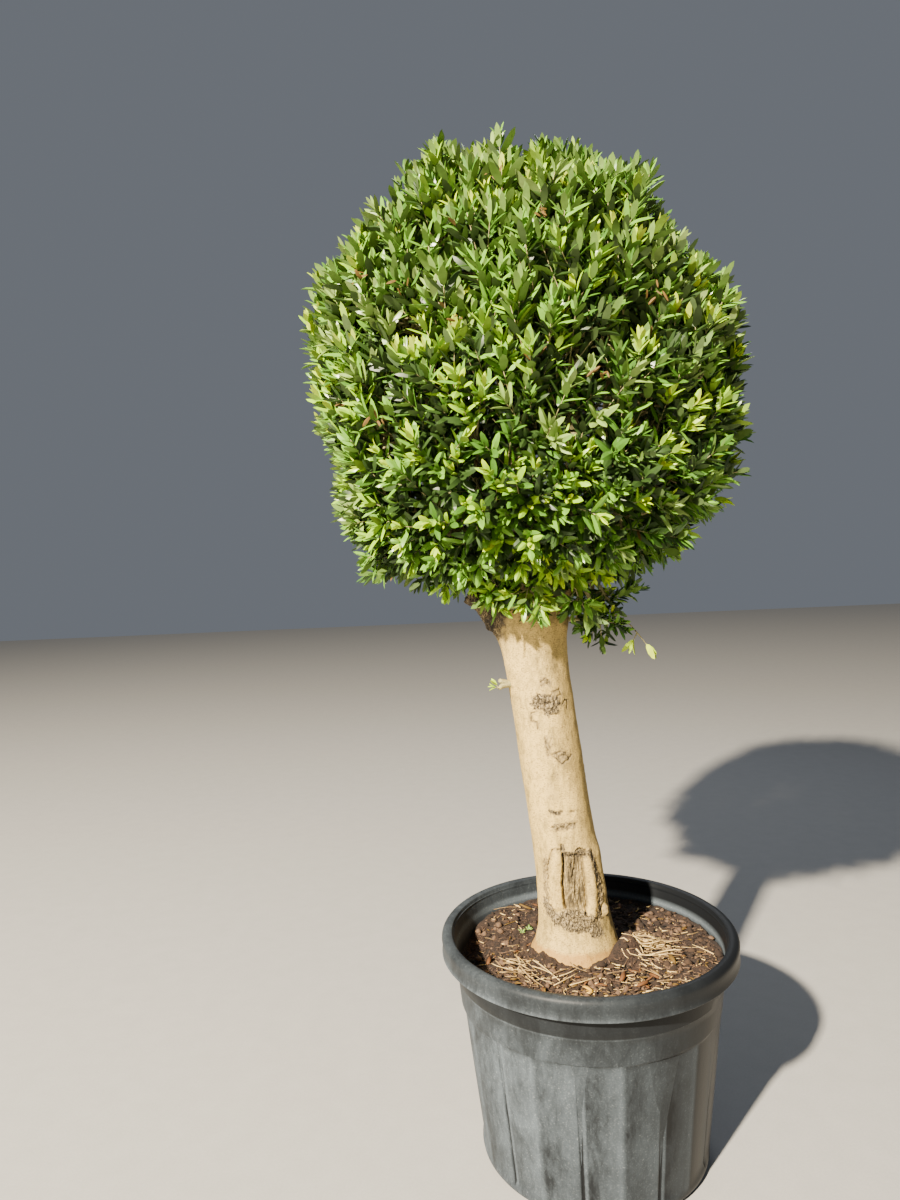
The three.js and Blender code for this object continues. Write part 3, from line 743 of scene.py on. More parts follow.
WOUND_LEFT = ((-10.6, 604), (-11.9, 585), (-16, 567), (-20.5, 548), (-21.2, 533), (-22.4, 517), (-21.5, 500))
WOUND_RIGHT = ((29, 598), (27.8, 574), (28.3, 558), (26.3, 532), (23.2, 508), (14.5, 486))
MARKS = [Mark(*row) for row in (
    # The old wound: two crevices with the dead wood between them
    (2.1, -12, 1.0, 0, WOUND_LEFT),
    (2.3, -6.5, 0.75, 0, WOUND_RIGHT),
    (1.4, -4, 0.9, 0.2, ((15.7, 601), (10.4, 579), (5.2, 568), (1.1, 558))),
    (1.2, -2, 0.5, 0, ((-6, 597), (-5.7, 575), (0.2, 577), (9, 594))),
    (1.2, -2, 0.45, 0, ((6, 548), (2, 530), (-4, 512))),
    (1.2, -1.5, 0.4, 0, ((18, 560), (15, 540), (9, 520), (4, 505))),
    # Its callus lips, and the cracks that bound them
    (9, 5.5, 0, 0, ((-22, 601), (-30, 574), (-35.5, 547), (-38, 520), (-37, 504))),
    (8.5, 6.5, 0, 0, ((36, 597), (41, 574), (42, 552), (40, 529), (35, 504), (28, 483))),
    (1.5, -2.6, 0.9, 0.3, (
        (-10, 606), (-15.5, 613), (-24.4, 614.5), (-31.4, 611), (-36, 600), (-44.5, 583), (-50.6, 568), (-46.8, 555),
    )),
    (1.4, -1.8, 0.7, 0.3, ((-58, 545), (-66, 536), (-63, 524), (-59, 512))),
    (1.7, -4, 0.85, 0.6, ((17, 608.5), (25, 611.6), (38, 607), (31, 597))),
    (5, -3.5, 0.45, 0.9, ((-9.6, 620), (-9.6, 614))),
    (7, -1.5, 0.1, 1.0, ((-8, 602), (10, 601), (29, 604))),
    (14, 0, 0, 0.6, ((8, 592), (2, 560), (-4, 520))),
    (24, 5.5, 0, 0, ((76, 592), (80, 550), (79, 522))),
    # Cracked bark right of the wound and below it
    (8, 0.6, 0, 0.9, ((44, 602), (49, 579), (52, 559), (55, 545), (55, 526), (50, 504), (42, 480))),
    (8, 0.3, 0, 0.62, ((-46, 590), (-54, 560), (-58, 530), (-54, 512))),
    (13, 1.5, 0, 1.0, ((-60, 505), (-50, 488), (-32, 474), (-10, 467), (10, 466), (30, 452))),
    (11, 1, 0, 0.95, ((-26, 487), (-2, 489), (24, 476))),
    (8, 0, 0, 0.8, ((33, 470), (30, 447))),
    (1.6, -8, 1.0, 0.3, ((54, 497), (49.4, 489), (48.7, 480))),
    (5, 6, 0, 0.3, ((60, 492), (60.5, 481))),
    # Knots and cracks above it
    (4.5, -1, 0.4, 1.0, ((-20, 687), (-7, 682))),
    (2.6, -2, 0.85, 0.5, ((-4, 686), (0.5, 686))),
    (2.8, -2, 0.85, 0, ((19, 685), (27, 684.5))),
    (1.6, -1.8, 0.9, 0, ((-23, 658), (-12, 652), (-5, 657), (3, 654), (12, 660), (26, 661))),
    (8, 0, 0, 0.68, ((-16, 656), (20, 659))),
    (12, 0, 0, 0.22, ((-13, 728), (-10, 712))),
    (1.4, -1, 0.45, 0.3, ((-0.6, 761), (3, 756), (6.4, 749))),
    # Patches of flaked bark, from the lowest up
    (1.6, -2.2, 1.0, 0.4, ((-0.4, 797), (18, 802), (43, 793), (31, 785), (17, 777.7), (7, 788.6), (-0.4, 797))),
    (1.3, -1.4, 0.85, 0.2, ((10, 792), (24, 796), (34, 791))),
    (9, 0, 0, 0.6, ((10, 793), (30, 791))),
    (1.5, -1.6, 0.85, 0.4, ((-10, 829), (-8.7, 812), (-9.7, 795))),
    (1.2, -1.2, 0.5, 0.3, ((2.2, 831), (-2.8, 812))),
    (6, 0, 0, 0.5, ((-8, 828), (-8, 800))),
    (17, 0.5, 0, 1.0, ((-9, 900), (18, 893), (12, 886))),
    (1.5, -2.6, 0.95, 0, ((-22, 909), (-19, 905), (-6.6, 902), (7, 896), (23, 900))),
    (1.4, -2.4, 0.9, 0, ((-12, 917), (-9, 902), (-14, 888), (-6, 877))),
    (1.4, -2.2, 0.85, 0, ((2, 912), (3, 898), (-2, 886), (8, 876), (22, 874))),
    (1.3, -2, 0.8, 0, ((26, 905), (20, 893), (12, 884))),
    (1.5, -2, 0.9, 0.5, ((22.8, 917), (37.8, 921), (41, 910), (30, 908))),
    (1.5, -1.8, 0.9, 0.5, ((39.4, 892.6), (50, 899), (58.6, 896), (52, 883))),
    (1.5, -1.8, 0.9, 0.4, ((-17, 880), (-29, 878), (-33.5, 862), (-19.4, 860), (-21.3, 848))),
    (1.4, -1.8, 0.95, 0.4, ((-0.7, 938), (9, 945), (18, 937), (4, 931), (-0.7, 938))),
    (9, 0, 0, 0.62, ((4, 938), (12, 936))),
    # Guessed ones on the sides and the back, which the photo doesn't show
    (15, 0.5, 0, 0.9, ((160, 838), (176, 846))),
    (1.5, -2.2, 0.85, 0, ((152, 846), (166, 838), (182, 850))),
    (13, 0.5, 0, 0.85, ((-140, 668), (-126, 652))),
    (12, 0.5, 0, 0.8, ((112, 566), (118, 548))),
    (1.4, -2, 0.8, 0, ((108, 574), (114, 560), (120, 544))),
    (20, 0.5, 0, 0.8, ((170, 500), (200, 492))),
    (10, 0, 0, 0.7, ((98, 760), (104, 744))),
)]


@dataclass
class Limbs:
    """Trunk and boughs as one grown body, with the bark's relief."""

    trunk: Trunk
    crown: CrownForm
    voxel: float = 0.0035
    # Where the bark's mesh is finer: lower and upper height, and millimetres to either side
    refined: tuple[Point, ...] = ((0.43, 0.7, 76), (0.77, 0.95, 62), (0.475, 0.618, 56))
    refine_middle: float = 2.0
    # Millimetres round the trunk are measured on a girth of this radius
    girth_radius_mm: float = 64.0
    # The scars and the wound lie below this height
    scarred_to: float = 1.0
    bough_rings: int = 24
    bough_sunk: float = 0.014
    stump_ends: tuple[Point, ...] = ((-0.165, -0.008, 1.072), (-0.212, -0.014, 1.108))
    stump_radii: tuple[float, ...] = (0.022, 0.02, 0.019, 0.018, 0.0175, 0.017, 0.0172, 0.0165)
    bend_out: float = 0.078
    bend_height: float = 1.15
    circle: float = 0.05
    leader_radius: float = 0.019
    # Name, azimuth in degrees, radius, how far out and how high its end lies
    ring: tuple[tuple[str, float, float, float, float], ...] = (
        ("left", 188, 0.029, 0.136, 1.214), ("front", 262, 0.026, 0.118, 1.232),
        ("right", 334, 0.027, 0.124, 1.226), ("back_right", 46, 0.026, 0.12, 1.236),
        ("back_left", 118, 0.027, 0.122, 1.228),
    )
    boughs: list[Bough] = field(default_factory=list)

    def grow(self) -> None:
        """Works out the path of each bough."""
        head = self.trunk.centre(self.trunk.top)
        for name, azimuth, radius, end_out, end_height in self.ring:
            out = direction(azimuth)
            start = head + out * self.circle - UP * radius
            bend = head + out * self.bend_out
            bend[2] = self.bend_height
            aim = self.crown.centre + out * end_out
            aim[2] = end_height
            path = bezier(start, bend, self.crown.core_point(aim, self.bough_sunk), self.bough_rings)[0]
            self.boughs.append(Bough(name, azimuth, radius, path))
        start = head - UP * self.leader_radius
        aim = self.crown.centre * [1, 1, 0] + UP * self.trunk.top
        share = np.linspace(0, 1, self.bough_rings)[:, None]
        path = start + (self.crown.core_point(aim, self.bough_sunk) - start) * share
        self.boughs.append(Bough("leader", 0.0, self.leader_radius, path))

    def stump(self) -> Pair:
        """Returns the body of the sawn-off stump on the left bough."""
        path = np.linspace(*self.stump_ends, len(self.stump_radii))
        return tubes(path[None], np.array(self.stump_radii)[None], 18)

    def angle_and_radius(self, places: Array) -> Pair:
        """Each place's angle round the trunk's middle, and its distance from it."""
        offset = places - self.trunk.centre(places[:, 2])
        return np.arctan2(offset[:, 1], offset[:, 0]), np.hypot(offset[:, 0], offset[:, 1])

    def around(self, places: Array) -> Array:
        """Millimetres round the trunk from its front to each place, positive to the right."""
        angle, _ = self.angle_and_radius(places)
        turn = angle + math.pi / 2
        return np.arctan2(np.sin(turn), np.cos(turn)) * self.girth_radius_mm

    def scars(self, places: Array) -> tuple[Array, Array, Array]:
        """Works out the marks on the bark and the dead wood between the wound's crevices.

        Args:
            places: Points on the bark.

        Returns:
            How far each point moves out in metres, how dark and how rough it is.
        """
        move, dark, rough = (np.zeros(len(places)) for _ in range(3))
        stem = np.flatnonzero(places[:, 2] < self.scarred_to)
        at = places[stem]
        ragged = noise_at(at, 0.009, 3, 7.0)
        across = self.around(at) + 1.0 * noise_at(at, 0.012, 2, 3.0) + 1.1 * noise_at(at, 0.005, 1, 23.0)
        height = at[:, 2] * 1000 + 1.0 * noise_at(at, 0.012, 2, 13.0) + 1.1 * noise_at(at, 0.005, 1, 33.0)
        # Thin cracks come and go along their way
        broken = np.clip(0.75 + 1.6 * noise_at(at, 0.006, 2, 43.0), 0.1, 1.25)
        for mark in MARKS:
            share = mark.distance(across, height) / mark.width
            fall = np.exp(-(share**2))
            move[stem] += mark.rise / 1000 * fall
            if mark.dark:
                whole = broken if mark.width < 2 else 1.0
                dark[stem] = np.maximum(dark[stem], whole * mark.dark * np.exp(-((share * 1.25) ** 2)))
            if mark.rough:
                # Rough bark frays out at its edge; along a thin crack it reaches a little further
                edge = share * mark.width / max(mark.width, 4.0) + 0.5 * ragged
                rough[stem] = np.maximum(rough[stem], mark.rough * (1 - smoothstep(edge, 0.7, 1.15)))
        left = np.interp(height, *np.array(WOUND_LEFT)[::-1, ::-1].T)
        right = np.interp(height, *np.array(WOUND_RIGHT)[::-1, ::-1].T)
        inside = smoothstep(np.minimum(across - left, right - across), 0, 2.5)
        inside *= smoothstep(height, 488, 503) * (1 - smoothstep(height, 598, 606))
        grain = 0.0014 * noise_at(at * [1, 1, 0.15], 0.006, 3, 5.0)
        move[stem] += inside * (grain - 0.0048)
        rough[stem] = np.maximum(rough[stem], 0.5 * inside)
        worn = inside * np.clip(0.42 + 1.0 * noise_at(at * [1, 1, 0.12], 0.005, 2, 53.0), 0, 0.85)
        dark[stem] = np.maximum(dark[stem], worn)
        return move, np.clip(dark, 0, 1), rough

    def old_bark(self, places: Array) -> Array:
        """How cracked the bark is by age: on the head's left side, its stump and the boughs."""
        ragged = noise_at(places, 0.016, 3, 7.0)
        old = smoothstep(places[:, 2] + 0.006 * ragged, 0.995, 1.045)
        lean = 0.3 * np.maximum(places[:, 2] - 1.04, 0)
        left = smoothstep(lean - places[:, 0] + 0.009 * ragged, 0.138, 0.152)
        return np.maximum(old * left, 0.6 * smoothstep(places[:, 2] + 0.01 * ragged, 1.09, 1.15))

    def sculpt(self, piece: Piece) -> None:
        """Moves the bark's vertices in and out, and stores where it is rough and dark."""
        mesh = piece.data
        places, normals = vectors_of(mesh.vertices), vectors_of(mesh.vertices, "normal")
        angle, _ = self.angle_and_radius(places)
        move, dark, rough = self.scars(places)
        old = self.old_bark(places)
        rough = np.maximum(rough, old)
        # The oldest bark is nearly black between its scales and is darkened further as painted shade, and the wood
        # inside the crown is darkened as painted shade
        old_bark_and_shade = old * np.clip(0.5 + 0.9 * noise_at(places * [1, 1, 0.4], 0.009, 2, 63.0), 0, 0.9)
        dark = np.maximum(dark, np.maximum(old_bark_and_shade, 0.5 * smoothstep(places[:, 2], 1.08, 1.15)))
        # Painted shade: the trunk's right side, turned from the key light, is darkened, and so is the head's right side
        # under the tuft
        around = self.around(places)
        painted_side_shade = 0.26 * smoothstep(around, 5, 45) * (1 - smoothstep(around, 110, 180))
        dark = np.maximum(dark, painted_side_shade * (places[:, 2] < 1.1))
        painted_tuft_shadow = smoothstep(places[:, 2] + 0.35 * places[:, 0] + 0.012 * noise_at(places, 0.02, 3, 17.0), 1.012, 1.04)
        dark = np.maximum(dark, 0.66 * painted_tuft_shadow * smoothstep(places[:, 0], -0.135, -0.105))
        swell = 0.0022 * noise_at(places * [1, 1, 0.55], 0.06, 2, 1.0)
        skin = 0.0003 * noise_at(places * [1, 1, 0.6], 0.009, 3, 2.0)
        flakes = 0.0022 * noise_at(places * [1, 1, 0.8], 0.0055, 3, 4.0)
        furrowed = smoothstep(places[:, 2], 1.0, 1.06) * (0.0012 + 0.003 * rough)
        ribs = furrowed * np.sin(angle * 11 + 3 * noise_at(places, 0.04, 2, 8.0))
        total = move + swell + skin + rough * (flakes + 0.0006) + ribs
        store(mesh, places + normals * total[:, None], rough=rough, hollow=dark)

    def refine(self, piece: Piece, low: float, high: float, reach: float) -> None:
        """Divides the faces of the trunk's front between two heights once more.

        Args:
            piece: The bark.
            low: Lower height in metres.
            high: Upper height in metres.
            reach: How far round from its middle the area goes, in millimetres.
        """
        mesh = piece.data
        centres = vectors_of(mesh.polygons, "center")
        chosen = np.abs(self.around(centres) - self.refine_middle) < reach
        chosen &= (centres[:, 2] > low) & (centres[:, 2] < high)
        select_only(piece)
        bpy.ops.object.mode_set(mode="EDIT")
        bpy.ops.mesh.select_all(action="DESELECT")
        bpy.ops.object.mode_set(mode="OBJECT")
        mesh.polygons.foreach_set("select", chosen)
        bpy.ops.object.mode_set(mode="EDIT")
        bpy.ops.mesh.subdivide(number_cuts=1, smoothness=0.0)
        bpy.ops.object.mode_set(mode="OBJECT")

    def build(self) -> Piece:
        """Builds the bark of trunk and boughs as one mesh.

        Returns:
            The piece that stands for the trunk's and the boughs' nodes.
        """
        bodies = [self.trunk.body(), self.stump(), *(bough.body() for bough in self.boughs)]
        piece = mesh_piece("bark", *joined(bodies), [OliveBark().make()])
        select_only(piece)
        remesh = piece.modifiers.new("grow_together", "REMESH")
        remesh.mode, remesh.voxel_size = "VOXEL", self.voxel
        soften = piece.modifiers.new("soften", "SMOOTH")
        soften.factor, soften.iterations = 0.5, 7
        for modifier in ("grow_together", "soften"):
            bpy.ops.object.modifier_apply(modifier=modifier)
        for low, high, reach in self.refined:
            self.refine(piece, low, high, reach)
        self.sculpt(piece)
        bpy.ops.object.shade_smooth()
        nodes = ["trunk", *("bough_" + bough.name for bough in self.boughs)]
        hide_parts(*nodes)
        return piece

    def marks(self) -> Pair:
        """Points down the middle of every limb, and the radius there."""
        heights = np.linspace(0.9, self.trunk.top, 10)
        stem = self.trunk.centre(heights)
        places = np.concatenate([stem, *(bough.path for bough in self.boughs)])
        radii = [self.trunk.radius(heights, np.zeros(10))]
        radii += [bough.radius * np.linspace(1, 0.7, len(bough.path)) for bough in self.boughs]
        return places, np.concatenate(radii)


# Foliage


@dataclass
class Leaves:
    """Leaves on their way to becoming meshes, kept in the batches that they were added in."""

    batches: list[tuple[Array, ...]] = field(default_factory=list)

    def add(self, root: Array, heading: Array, face: Array, length: Array, tint: Array) -> None:
        """Adds leaves.

        Args:
            root: Where each leaf's stalk starts.
            heading: Which way it points.
            face: Which way its upper side looks.
            length: Its length in metres.
            tint: Number of its Tint.
        """
        self.batches.append((root, heading, face, length, tint))

    def together(self) -> list[Array]:
        """Returns place, heading, face, length and tint of all the leaves."""
        return [np.concatenate(values) for values in zip(*self.batches)]


@dataclass
class LeafShape:
    """The outline of an olive leaf: a narrow blade that is pointed at both ends."""

    along: tuple[float, ...] = (0.15, 0.48, 0.82)
    half_width: tuple[float, ...] = (0.33, 0.5, 0.34)
    slenderness: float = 0.335
    fold: float = 0.36
    thickness: float = 0.0006

    def piece(self, name: str, leaves: Sequence[Array], rng: Rng, finishes: Finishes) -> Piece:
        """Makes one piece of many leaves: thin closed blades, their rims turned down from the rib.

        Args:
            name: Name of the piece.
            leaves: Place, heading, face, length and tint of each leaf.
            rng: Random numbers for width, fold and bend.
            finishes: Leaf materials, two for each Tint.

        Returns:
            The piece.
        """
        root, heading, face, length, tint = leaves
        count = len(root)
        heading = unit(heading)
        face = unit(face - (face * heading).sum(-1, keepdims=True) * heading)
        side = np.cross(face, heading)
        width = length * self.slenderness * rng.uniform(0.86, 1.14, count)
        fold = self.fold * rng.uniform(0.3, 1.5, count)
        bend = rng.normal(0.1, 0.09, count)
        sway = rng.normal(0.0, 0.05, count)
        columns = []
        stations = [(0.0, 0.0, 0.0)]
        for t, half in zip(self.along, self.half_width):
            stations += [(t, half, 0.0), (t, -half, 0.0), (t, 0.0, half)]
        stations.append((1.0, 0.0, 0.0))
        for t, half, rib in stations:
            ahead = t * length
            aside = half * width + sway * t * t * length
            lift = rib * fold * width + (rib > 0) * self.thickness - bend * t * t * length
            columns.append(root + ahead[:, None] * heading + aside[:, None] * side + lift[:, None] * face)
        points = np.stack(columns, 1)
        left, right, rib = (1 + 3 * np.arange(len(self.along)) + k for k in range(3))
        tip = len(stations) - 1
        upper = [(0, rib[0], left[0]), (0, right[0], rib[0]), (left[-1], rib[-1], tip), (rib[-1], right[-1], tip)]
        lower = [(0, left[0], right[0]), (left[-1], tip, right[-1])]
        for a, b in zip(range(len(left) - 1), range(1, len(left))):
            upper += [(left[a], rib[a], rib[b]), (left[a], rib[b], left[b])]
            upper += [(rib[a], right[a], right[b]), (rib[a], right[b], rib[b])]
            lower += [(left[a], left[b], right[b]), (left[a], right[b], right[a])]
        faces = np.array(upper + lower)[None] + (np.arange(count) * points.shape[1])[:, None, None]
        below = np.repeat([0, 1], [len(upper), len(lower)])[None, :]
        slots = (tint[:, None] * 2 + below).ravel()
        return mesh_piece(name, points.reshape(-1, 3), faces.reshape(-1, 3), finishes, slots)


@dataclass
class Shoots:
    """Leafy shoots that grow from many places at once."""

    rng: Rng
    leaf_length: float = 0.0405
    spacing: float = 0.0125
    radius: float = 0.0014
    light_share: float = 1.0
    inner_pair: int = 3
    rings: int = 4
    pairs: int = 6
    # Of the last pair of leaves, the one before it and all the others: least and greatest angle
    # to the shoot in degrees, and least and greatest length as a share of leaf_length
    spreads: Rows = ((12, 24), (22, 38), (30, 54))
    sizes: Rows = ((0.5, 0.78), (0.74, 0.98), (0.86, 1.14))
    withered_share: float = 0.002

    def grow(
        self, start: Array, heading: Array, length: Array, lift: Array, sprays: Array, young: Array, leaves: Leaves
    ) -> Pair:
        """Grows the shoots and puts their leaves on, in pairs that turn across each other.

        Args:
            start: Where each shoot starts.
            heading: Its direction.
            length: Its length in metres.
            lift: How far its tip bends up, as a share of its length.
            sprays: Number of the Tint of its spray.
            young: Whether its last leaves are young ones.
            leaves: Where the leaves go.

        Returns:
            Paths and radii of the shoots.
        """
        rng = self.rng
        count = len(start)
        end = start + heading * length[:, None]
        bend = (start + end) / 2 - UP * (lift * length)[:, None] * 0.5
        end = end + UP * (lift * length)[:, None] * 0.5
        paths = bezier(start, bend, end, self.rings)
        radii = self.radius * np.linspace(1.0, 0.42, self.rings)[None] * np.ones((count, 1))
        turn = rng.uniform(0, math.pi, count)
        aside = unit(np.cross(heading, UP) + 1e-4)
        above = np.cross(aside, heading)
        outward = unit(heading + 0.4 * UP)
        for pair in range(self.pairs):
            back = 0.003 + self.spacing * pair * (0.55 + 0.06 * pair)
            share = 1 - back / length
            shown = share > 0.1
            share = np.clip(share, 0, 1)[:, None]
            place = (1 - share) ** 2 * start + 2 * share * (1 - share) * bend + share**2 * end
            axis = unit(2 * (1 - share) * (bend - start) + 2 * share * (end - bend))
            spreads, sizes = self.spreads[min(pair, 2)], self.sizes[min(pair, 2)]
            for opposite in (0.0, math.pi):
                around = turn + opposite + rng.normal(0, 0.2, count)
                out = np.cos(around)[:, None] * aside + np.sin(around)[:, None] * above
                spread = np.radians(rng.uniform(*spreads, count))[:, None]
                blade = np.cos(spread) * axis + np.sin(spread) * out
                face = np.sin(spread) * axis - np.cos(spread) * out
                face = face + self.light_share * outward + rng.normal(0, 0.26, (count, 3))
                size = self.leaf_length * rng.uniform(*sizes, count)
                fresh = young & (pair < 2)
                tint = np.where(fresh, (YOUNG, BRIGHT)[min(pair, 1)], sprays)
                odd = rng.random(count)
                tint = np.where((odd > 0.86) & ~fresh, MATURE, tint)
                if pair >= self.inner_pair:
                    # The oldest leaves, low on the shoot, are the darkest, and most of them get the shaded tint as
                    # painted shade
                    tint = np.where(odd < 0.55, SHADED, np.where(odd < 0.8, DEEP, tint))
                withered = (odd < self.withered_share) & (pair > 0)
                tint, size = np.where(withered, DEAD, tint), np.where(withered, 0.6 * size, size)
                leaves.add(place[shown], blade[shown], face[shown], size[shown], tint[shown])
            turn = turn + math.pi / 2
        size = self.leaf_length * rng.uniform(0.42, 0.7, count)
        face = above + rng.normal(0, 0.4, (count, 3))
        tint = np.where(young, YOUNG, sprays)
        leaves.add(end, unit(end - bend), face, size, tint)
        return paths, radii


@dataclass
class Crown:
    """Branches, twigs, shoots and leaves that grow on from the boughs to the clipped outline."""

    form: CrownForm
    limbs: Limbs
    seed: int = 20421
    branch_count: int = 54
    twig_count: int = 455
    shoots_per_twig: int = 7
    wander: float = 0.5
    hollow_share: float = 0.35
    sectors: int = 5
    limb_rings: int = 14
    branch_rings: int = 9
    twig_rings: int = 6
    # Withered sprigs, most of them at the front: azimuth and elevation in degrees
    withered: Rows = (
        (-132, 18), (-122, 16), (-101, 42), (-63, 12), (-77, -6), (-127, -12), (-108, 6), (-88, 30),
        (40, 10), (110, 35),
    )
    withered_leaves: int = 5

    def scaffold(self, rng: Rng) -> tuple[list[Pair], Array]:
        """Grows each bough on into the crown, and branches from them.

        Args:
            rng: Random numbers.

        Returns:
            Bodies of the limbs and branches, and the points that twigs may start from.
        """
        centre = self.form.centre
        mains, main_radii = [], []
        for bough in self.limbs.boughs:
            heading = unit(bough.path[-1] - bough.path[-2])
            start = bough.path[-1] - heading * 0.012
            if bough.name == "leader":
                end = centre + UP * 0.22 + np.array([0.02, -0.015, 0.0])
            else:
                end = centre + direction(bough.azimuth) * 0.19 + UP * 0.08
            mains.append(bezier(start, start + heading * 0.12, end, self.limb_rings)[0])
            main_radii.append(bough.radius * np.linspace(0.7, 0.3, self.limb_rings))
        mains = np.array(mains)
        bodies = [tubes(mains, np.array(main_radii), 8)]
        directions = even_directions(self.branch_count)
        share = 0.62 - 0.4 * self.form.hollow(directions)
        knees = self.form.places(directions, share)
        knees += rng.normal(0, 0.012, knees.shape)
        sources = mains[:, 3:].reshape(-1, 3)
        gap = np.linalg.norm(knees[:, None] - sources[None], axis=-1)
        # A branch leaves its limb lower down than the place that is nearest to its end
        gap += 0.6 * np.maximum(0, sources[None, :, 2] - knees[:, None, 2] + 0.06)
        start = sources[gap.argmin(1)]
        bend = (start + knees) / 2 + 0.16 * (knees - start)[:, [1, 0, 2]] * rng.normal(0, 0.6, (len(start), 1))
        branches = bezier(start, bend, knees, self.branch_rings)
        radii = rng.uniform(0.0058, 0.0078, (len(start), 1)) * np.linspace(1, 0.5, self.branch_rings)
        bodies.append(tubes(branches, radii, 6))
        return bodies, branches[:, 4:].reshape(-1, 3)

    def twigs(self, rng: Rng, sources: Array) -> tuple[Array, Array, Array]:
        """Grows the twigs from the branches to their knees under the surface.

        Args:
            rng: Random numbers.
            sources: Points that twigs may start from.

        Returns:
            Paths of the twigs, their radii, and the even directions they head for.
        """
        directions = even_directions(self.twig_count)
        directions = unit(directions + rng.normal(0, 0.03, directions.shape))
        share = rng.uniform(0.76, 0.885, self.twig_count) - self.hollow_share * self.form.hollow(directions)
        knees = self.form.places(directions, share)
        gap = np.linalg.norm(knees[:, None] - sources[None], axis=-1)
        start = sources[gap.argmin(1)]
        bend = (start + knees) / 2 + 0.25 * rng.normal(0, 0.06, start.shape) - UP * 0.008
        paths = bezier(start, bend, knees, self.twig_rings)
        radii = rng.uniform(0.0026, 0.0034, (len(start), 1)) * np.linspace(1, 0.6, self.twig_rings)
        return paths, radii, directions

    def shoot_plan(self, rng: Rng, paths: Array, directions: Array) -> dict[str, Array]:
        """Decides where each shoot starts, where it heads and how long it gets.

        Args:
            rng: Random numbers.
            paths: Paths of the twigs.
            directions: The even directions they head for.

        Returns:
            Start, heading, length, lift, sprays and young of all the shoots.
        """
        each = self.shoots_per_twig
        spray = np.repeat(np.arange(len(paths)), each)
        order = np.tile(np.arange(each), len(paths))
        out = directions[spray]
        # On the flanks the shoots turn up towards the light and stand nearly upright
        upright = smoothstep(out[:, 2], -1.9, 0.2)[:, None]
        heading = unit(out * (1 - 0.48 * upright) + 0.92 * UP * upright)
        heading = unit(heading + self.wander * (rng.random(out.shape) - 0.5))
        aside = unit(np.cross(heading, UP + 1e-3))
        above = np.cross(aside, heading)
        turn = GOLDEN_ANGLE * order + np.repeat(rng.uniform(0, 6.3, len(paths)), each)
        lean = np.where(order == 0, 0.0, rng.uniform(0.3, 0.85, len(spray)))[:, None]
        heading = unit(heading + lean * (np.cos(turn)[:, None] * aside + np.sin(turn)[:, None] * above))
        # Side shoots turn up towards the light
        heading = unit(heading + UP * (0.35 * np.clip(out[:, 2] + 0.75, 0, 1) * (order > 0))[:, None])
        back = np.where(order < 2, 1.0, rng.uniform(0.55, 1.0, len(spray)))
        # The last shoot of each twig fills the shade inside
        inner = order == each - 1
        back = np.where(inner, 0.4, back)
        ring = (back * (self.twig_rings - 1)).round().astype(int)
        start = paths[spray, ring]
        tall = rng.random(len(spray))
        limit = np.where(tall > 0.82, rng.uniform(0.985, 1.02, len(spray)), rng.uniform(0.9, 0.985, len(spray)))
        # A few shoots of the upper half have grown out since the last clipping
        limit += 0.045 * (tall > 0.95) * smoothstep(out[:, 2], 0.0, 0.5) - 0.02 * smoothstep(out[:, 2], 0.6, 0.9)
        length = self.form.reach(start, heading, limit) - 0.018
        length = np.minimum(length, rng.uniform(0.075, 0.135, len(spray)))
        length = np.maximum(length, rng.uniform(0.03, 0.042, len(spray)))
        lift = 0.16 * np.clip(out[:, 2] + 0.25, -0.6, 1)
        # Low down there are more deep green sprays, as painted shade, and fewer grey ones
        low, pick = smoothstep(-directions[:, 2], -0.4, 0.6), rng.random(len(paths))
        shares = [pick < 0.44 - 0.04 * low, pick < 0.68, pick < 0.84 - 0.04 * low]
        tint = np.select(shares, [MATURE, DEEP, GREYED], BRIGHT)[spray]
        lit = np.clip(0.24 + 0.3 * noise_at(directions, 0.5, 2, 3.0)[spray] - 0.06 * out[:, 1], 0.05, 0.5)
        young = (rng.random(len(paths))[spray] < lit) & (order < 4)
        # Painted shade: the inner shoots, and the oldest shoots low down and on the right, get the shaded tint
        tint = np.where(inner | ((order >= each - 3) & (low[spray] + 0.3 * out[:, 0] > 0.38)), SHADED, tint)
        return dict(start=start, heading=heading, length=length, lift=lift, sprays=tint, young=young)

    def wither(self, rng: Rng, leaves: Leaves) -> None:
        """Adds a few curled dead leaves at each withered sprig."""
        out = np.repeat([direction(*sprig) for sprig in self.withered], self.withered_leaves, axis=0)
        place = self.form.places(out, np.full(len(out), 0.95))
        place += rng.normal(0, 0.007, place.shape)
        heading = unit(rng.normal(0, 1, place.shape) + 0.6 * out - 0.4 * UP)
        leaves.add(place, heading, out, rng.uniform(0.01, 0.02, len(out)), np.full(len(out), DEAD))

    def clear(self, leaves: list[Array]) -> list[Array]:
        """Leaves out what would leave the outline or touch a limb.

        Args:
            leaves: Place, heading, face, length and tint of each leaf.

        Returns:
            The same arrays for the leaves that stay.
        """
        root, heading, _, length, _ = leaves
        tip = root + heading * length[:, None]
        middle = (root + tip) / 2
        keep = self.form.level(tip) < self.form.leaf_reach + 0.04 * smoothstep(root[:, 2], 1.5, 1.7)
        marks, radii = self.limbs.marks()
        for mark, radius in zip(marks, radii):
            for point in (tip, middle):
                keep &= np.linalg.norm(point - mark, axis=-1) > radius + 0.008
        return [values[keep] for values in leaves]

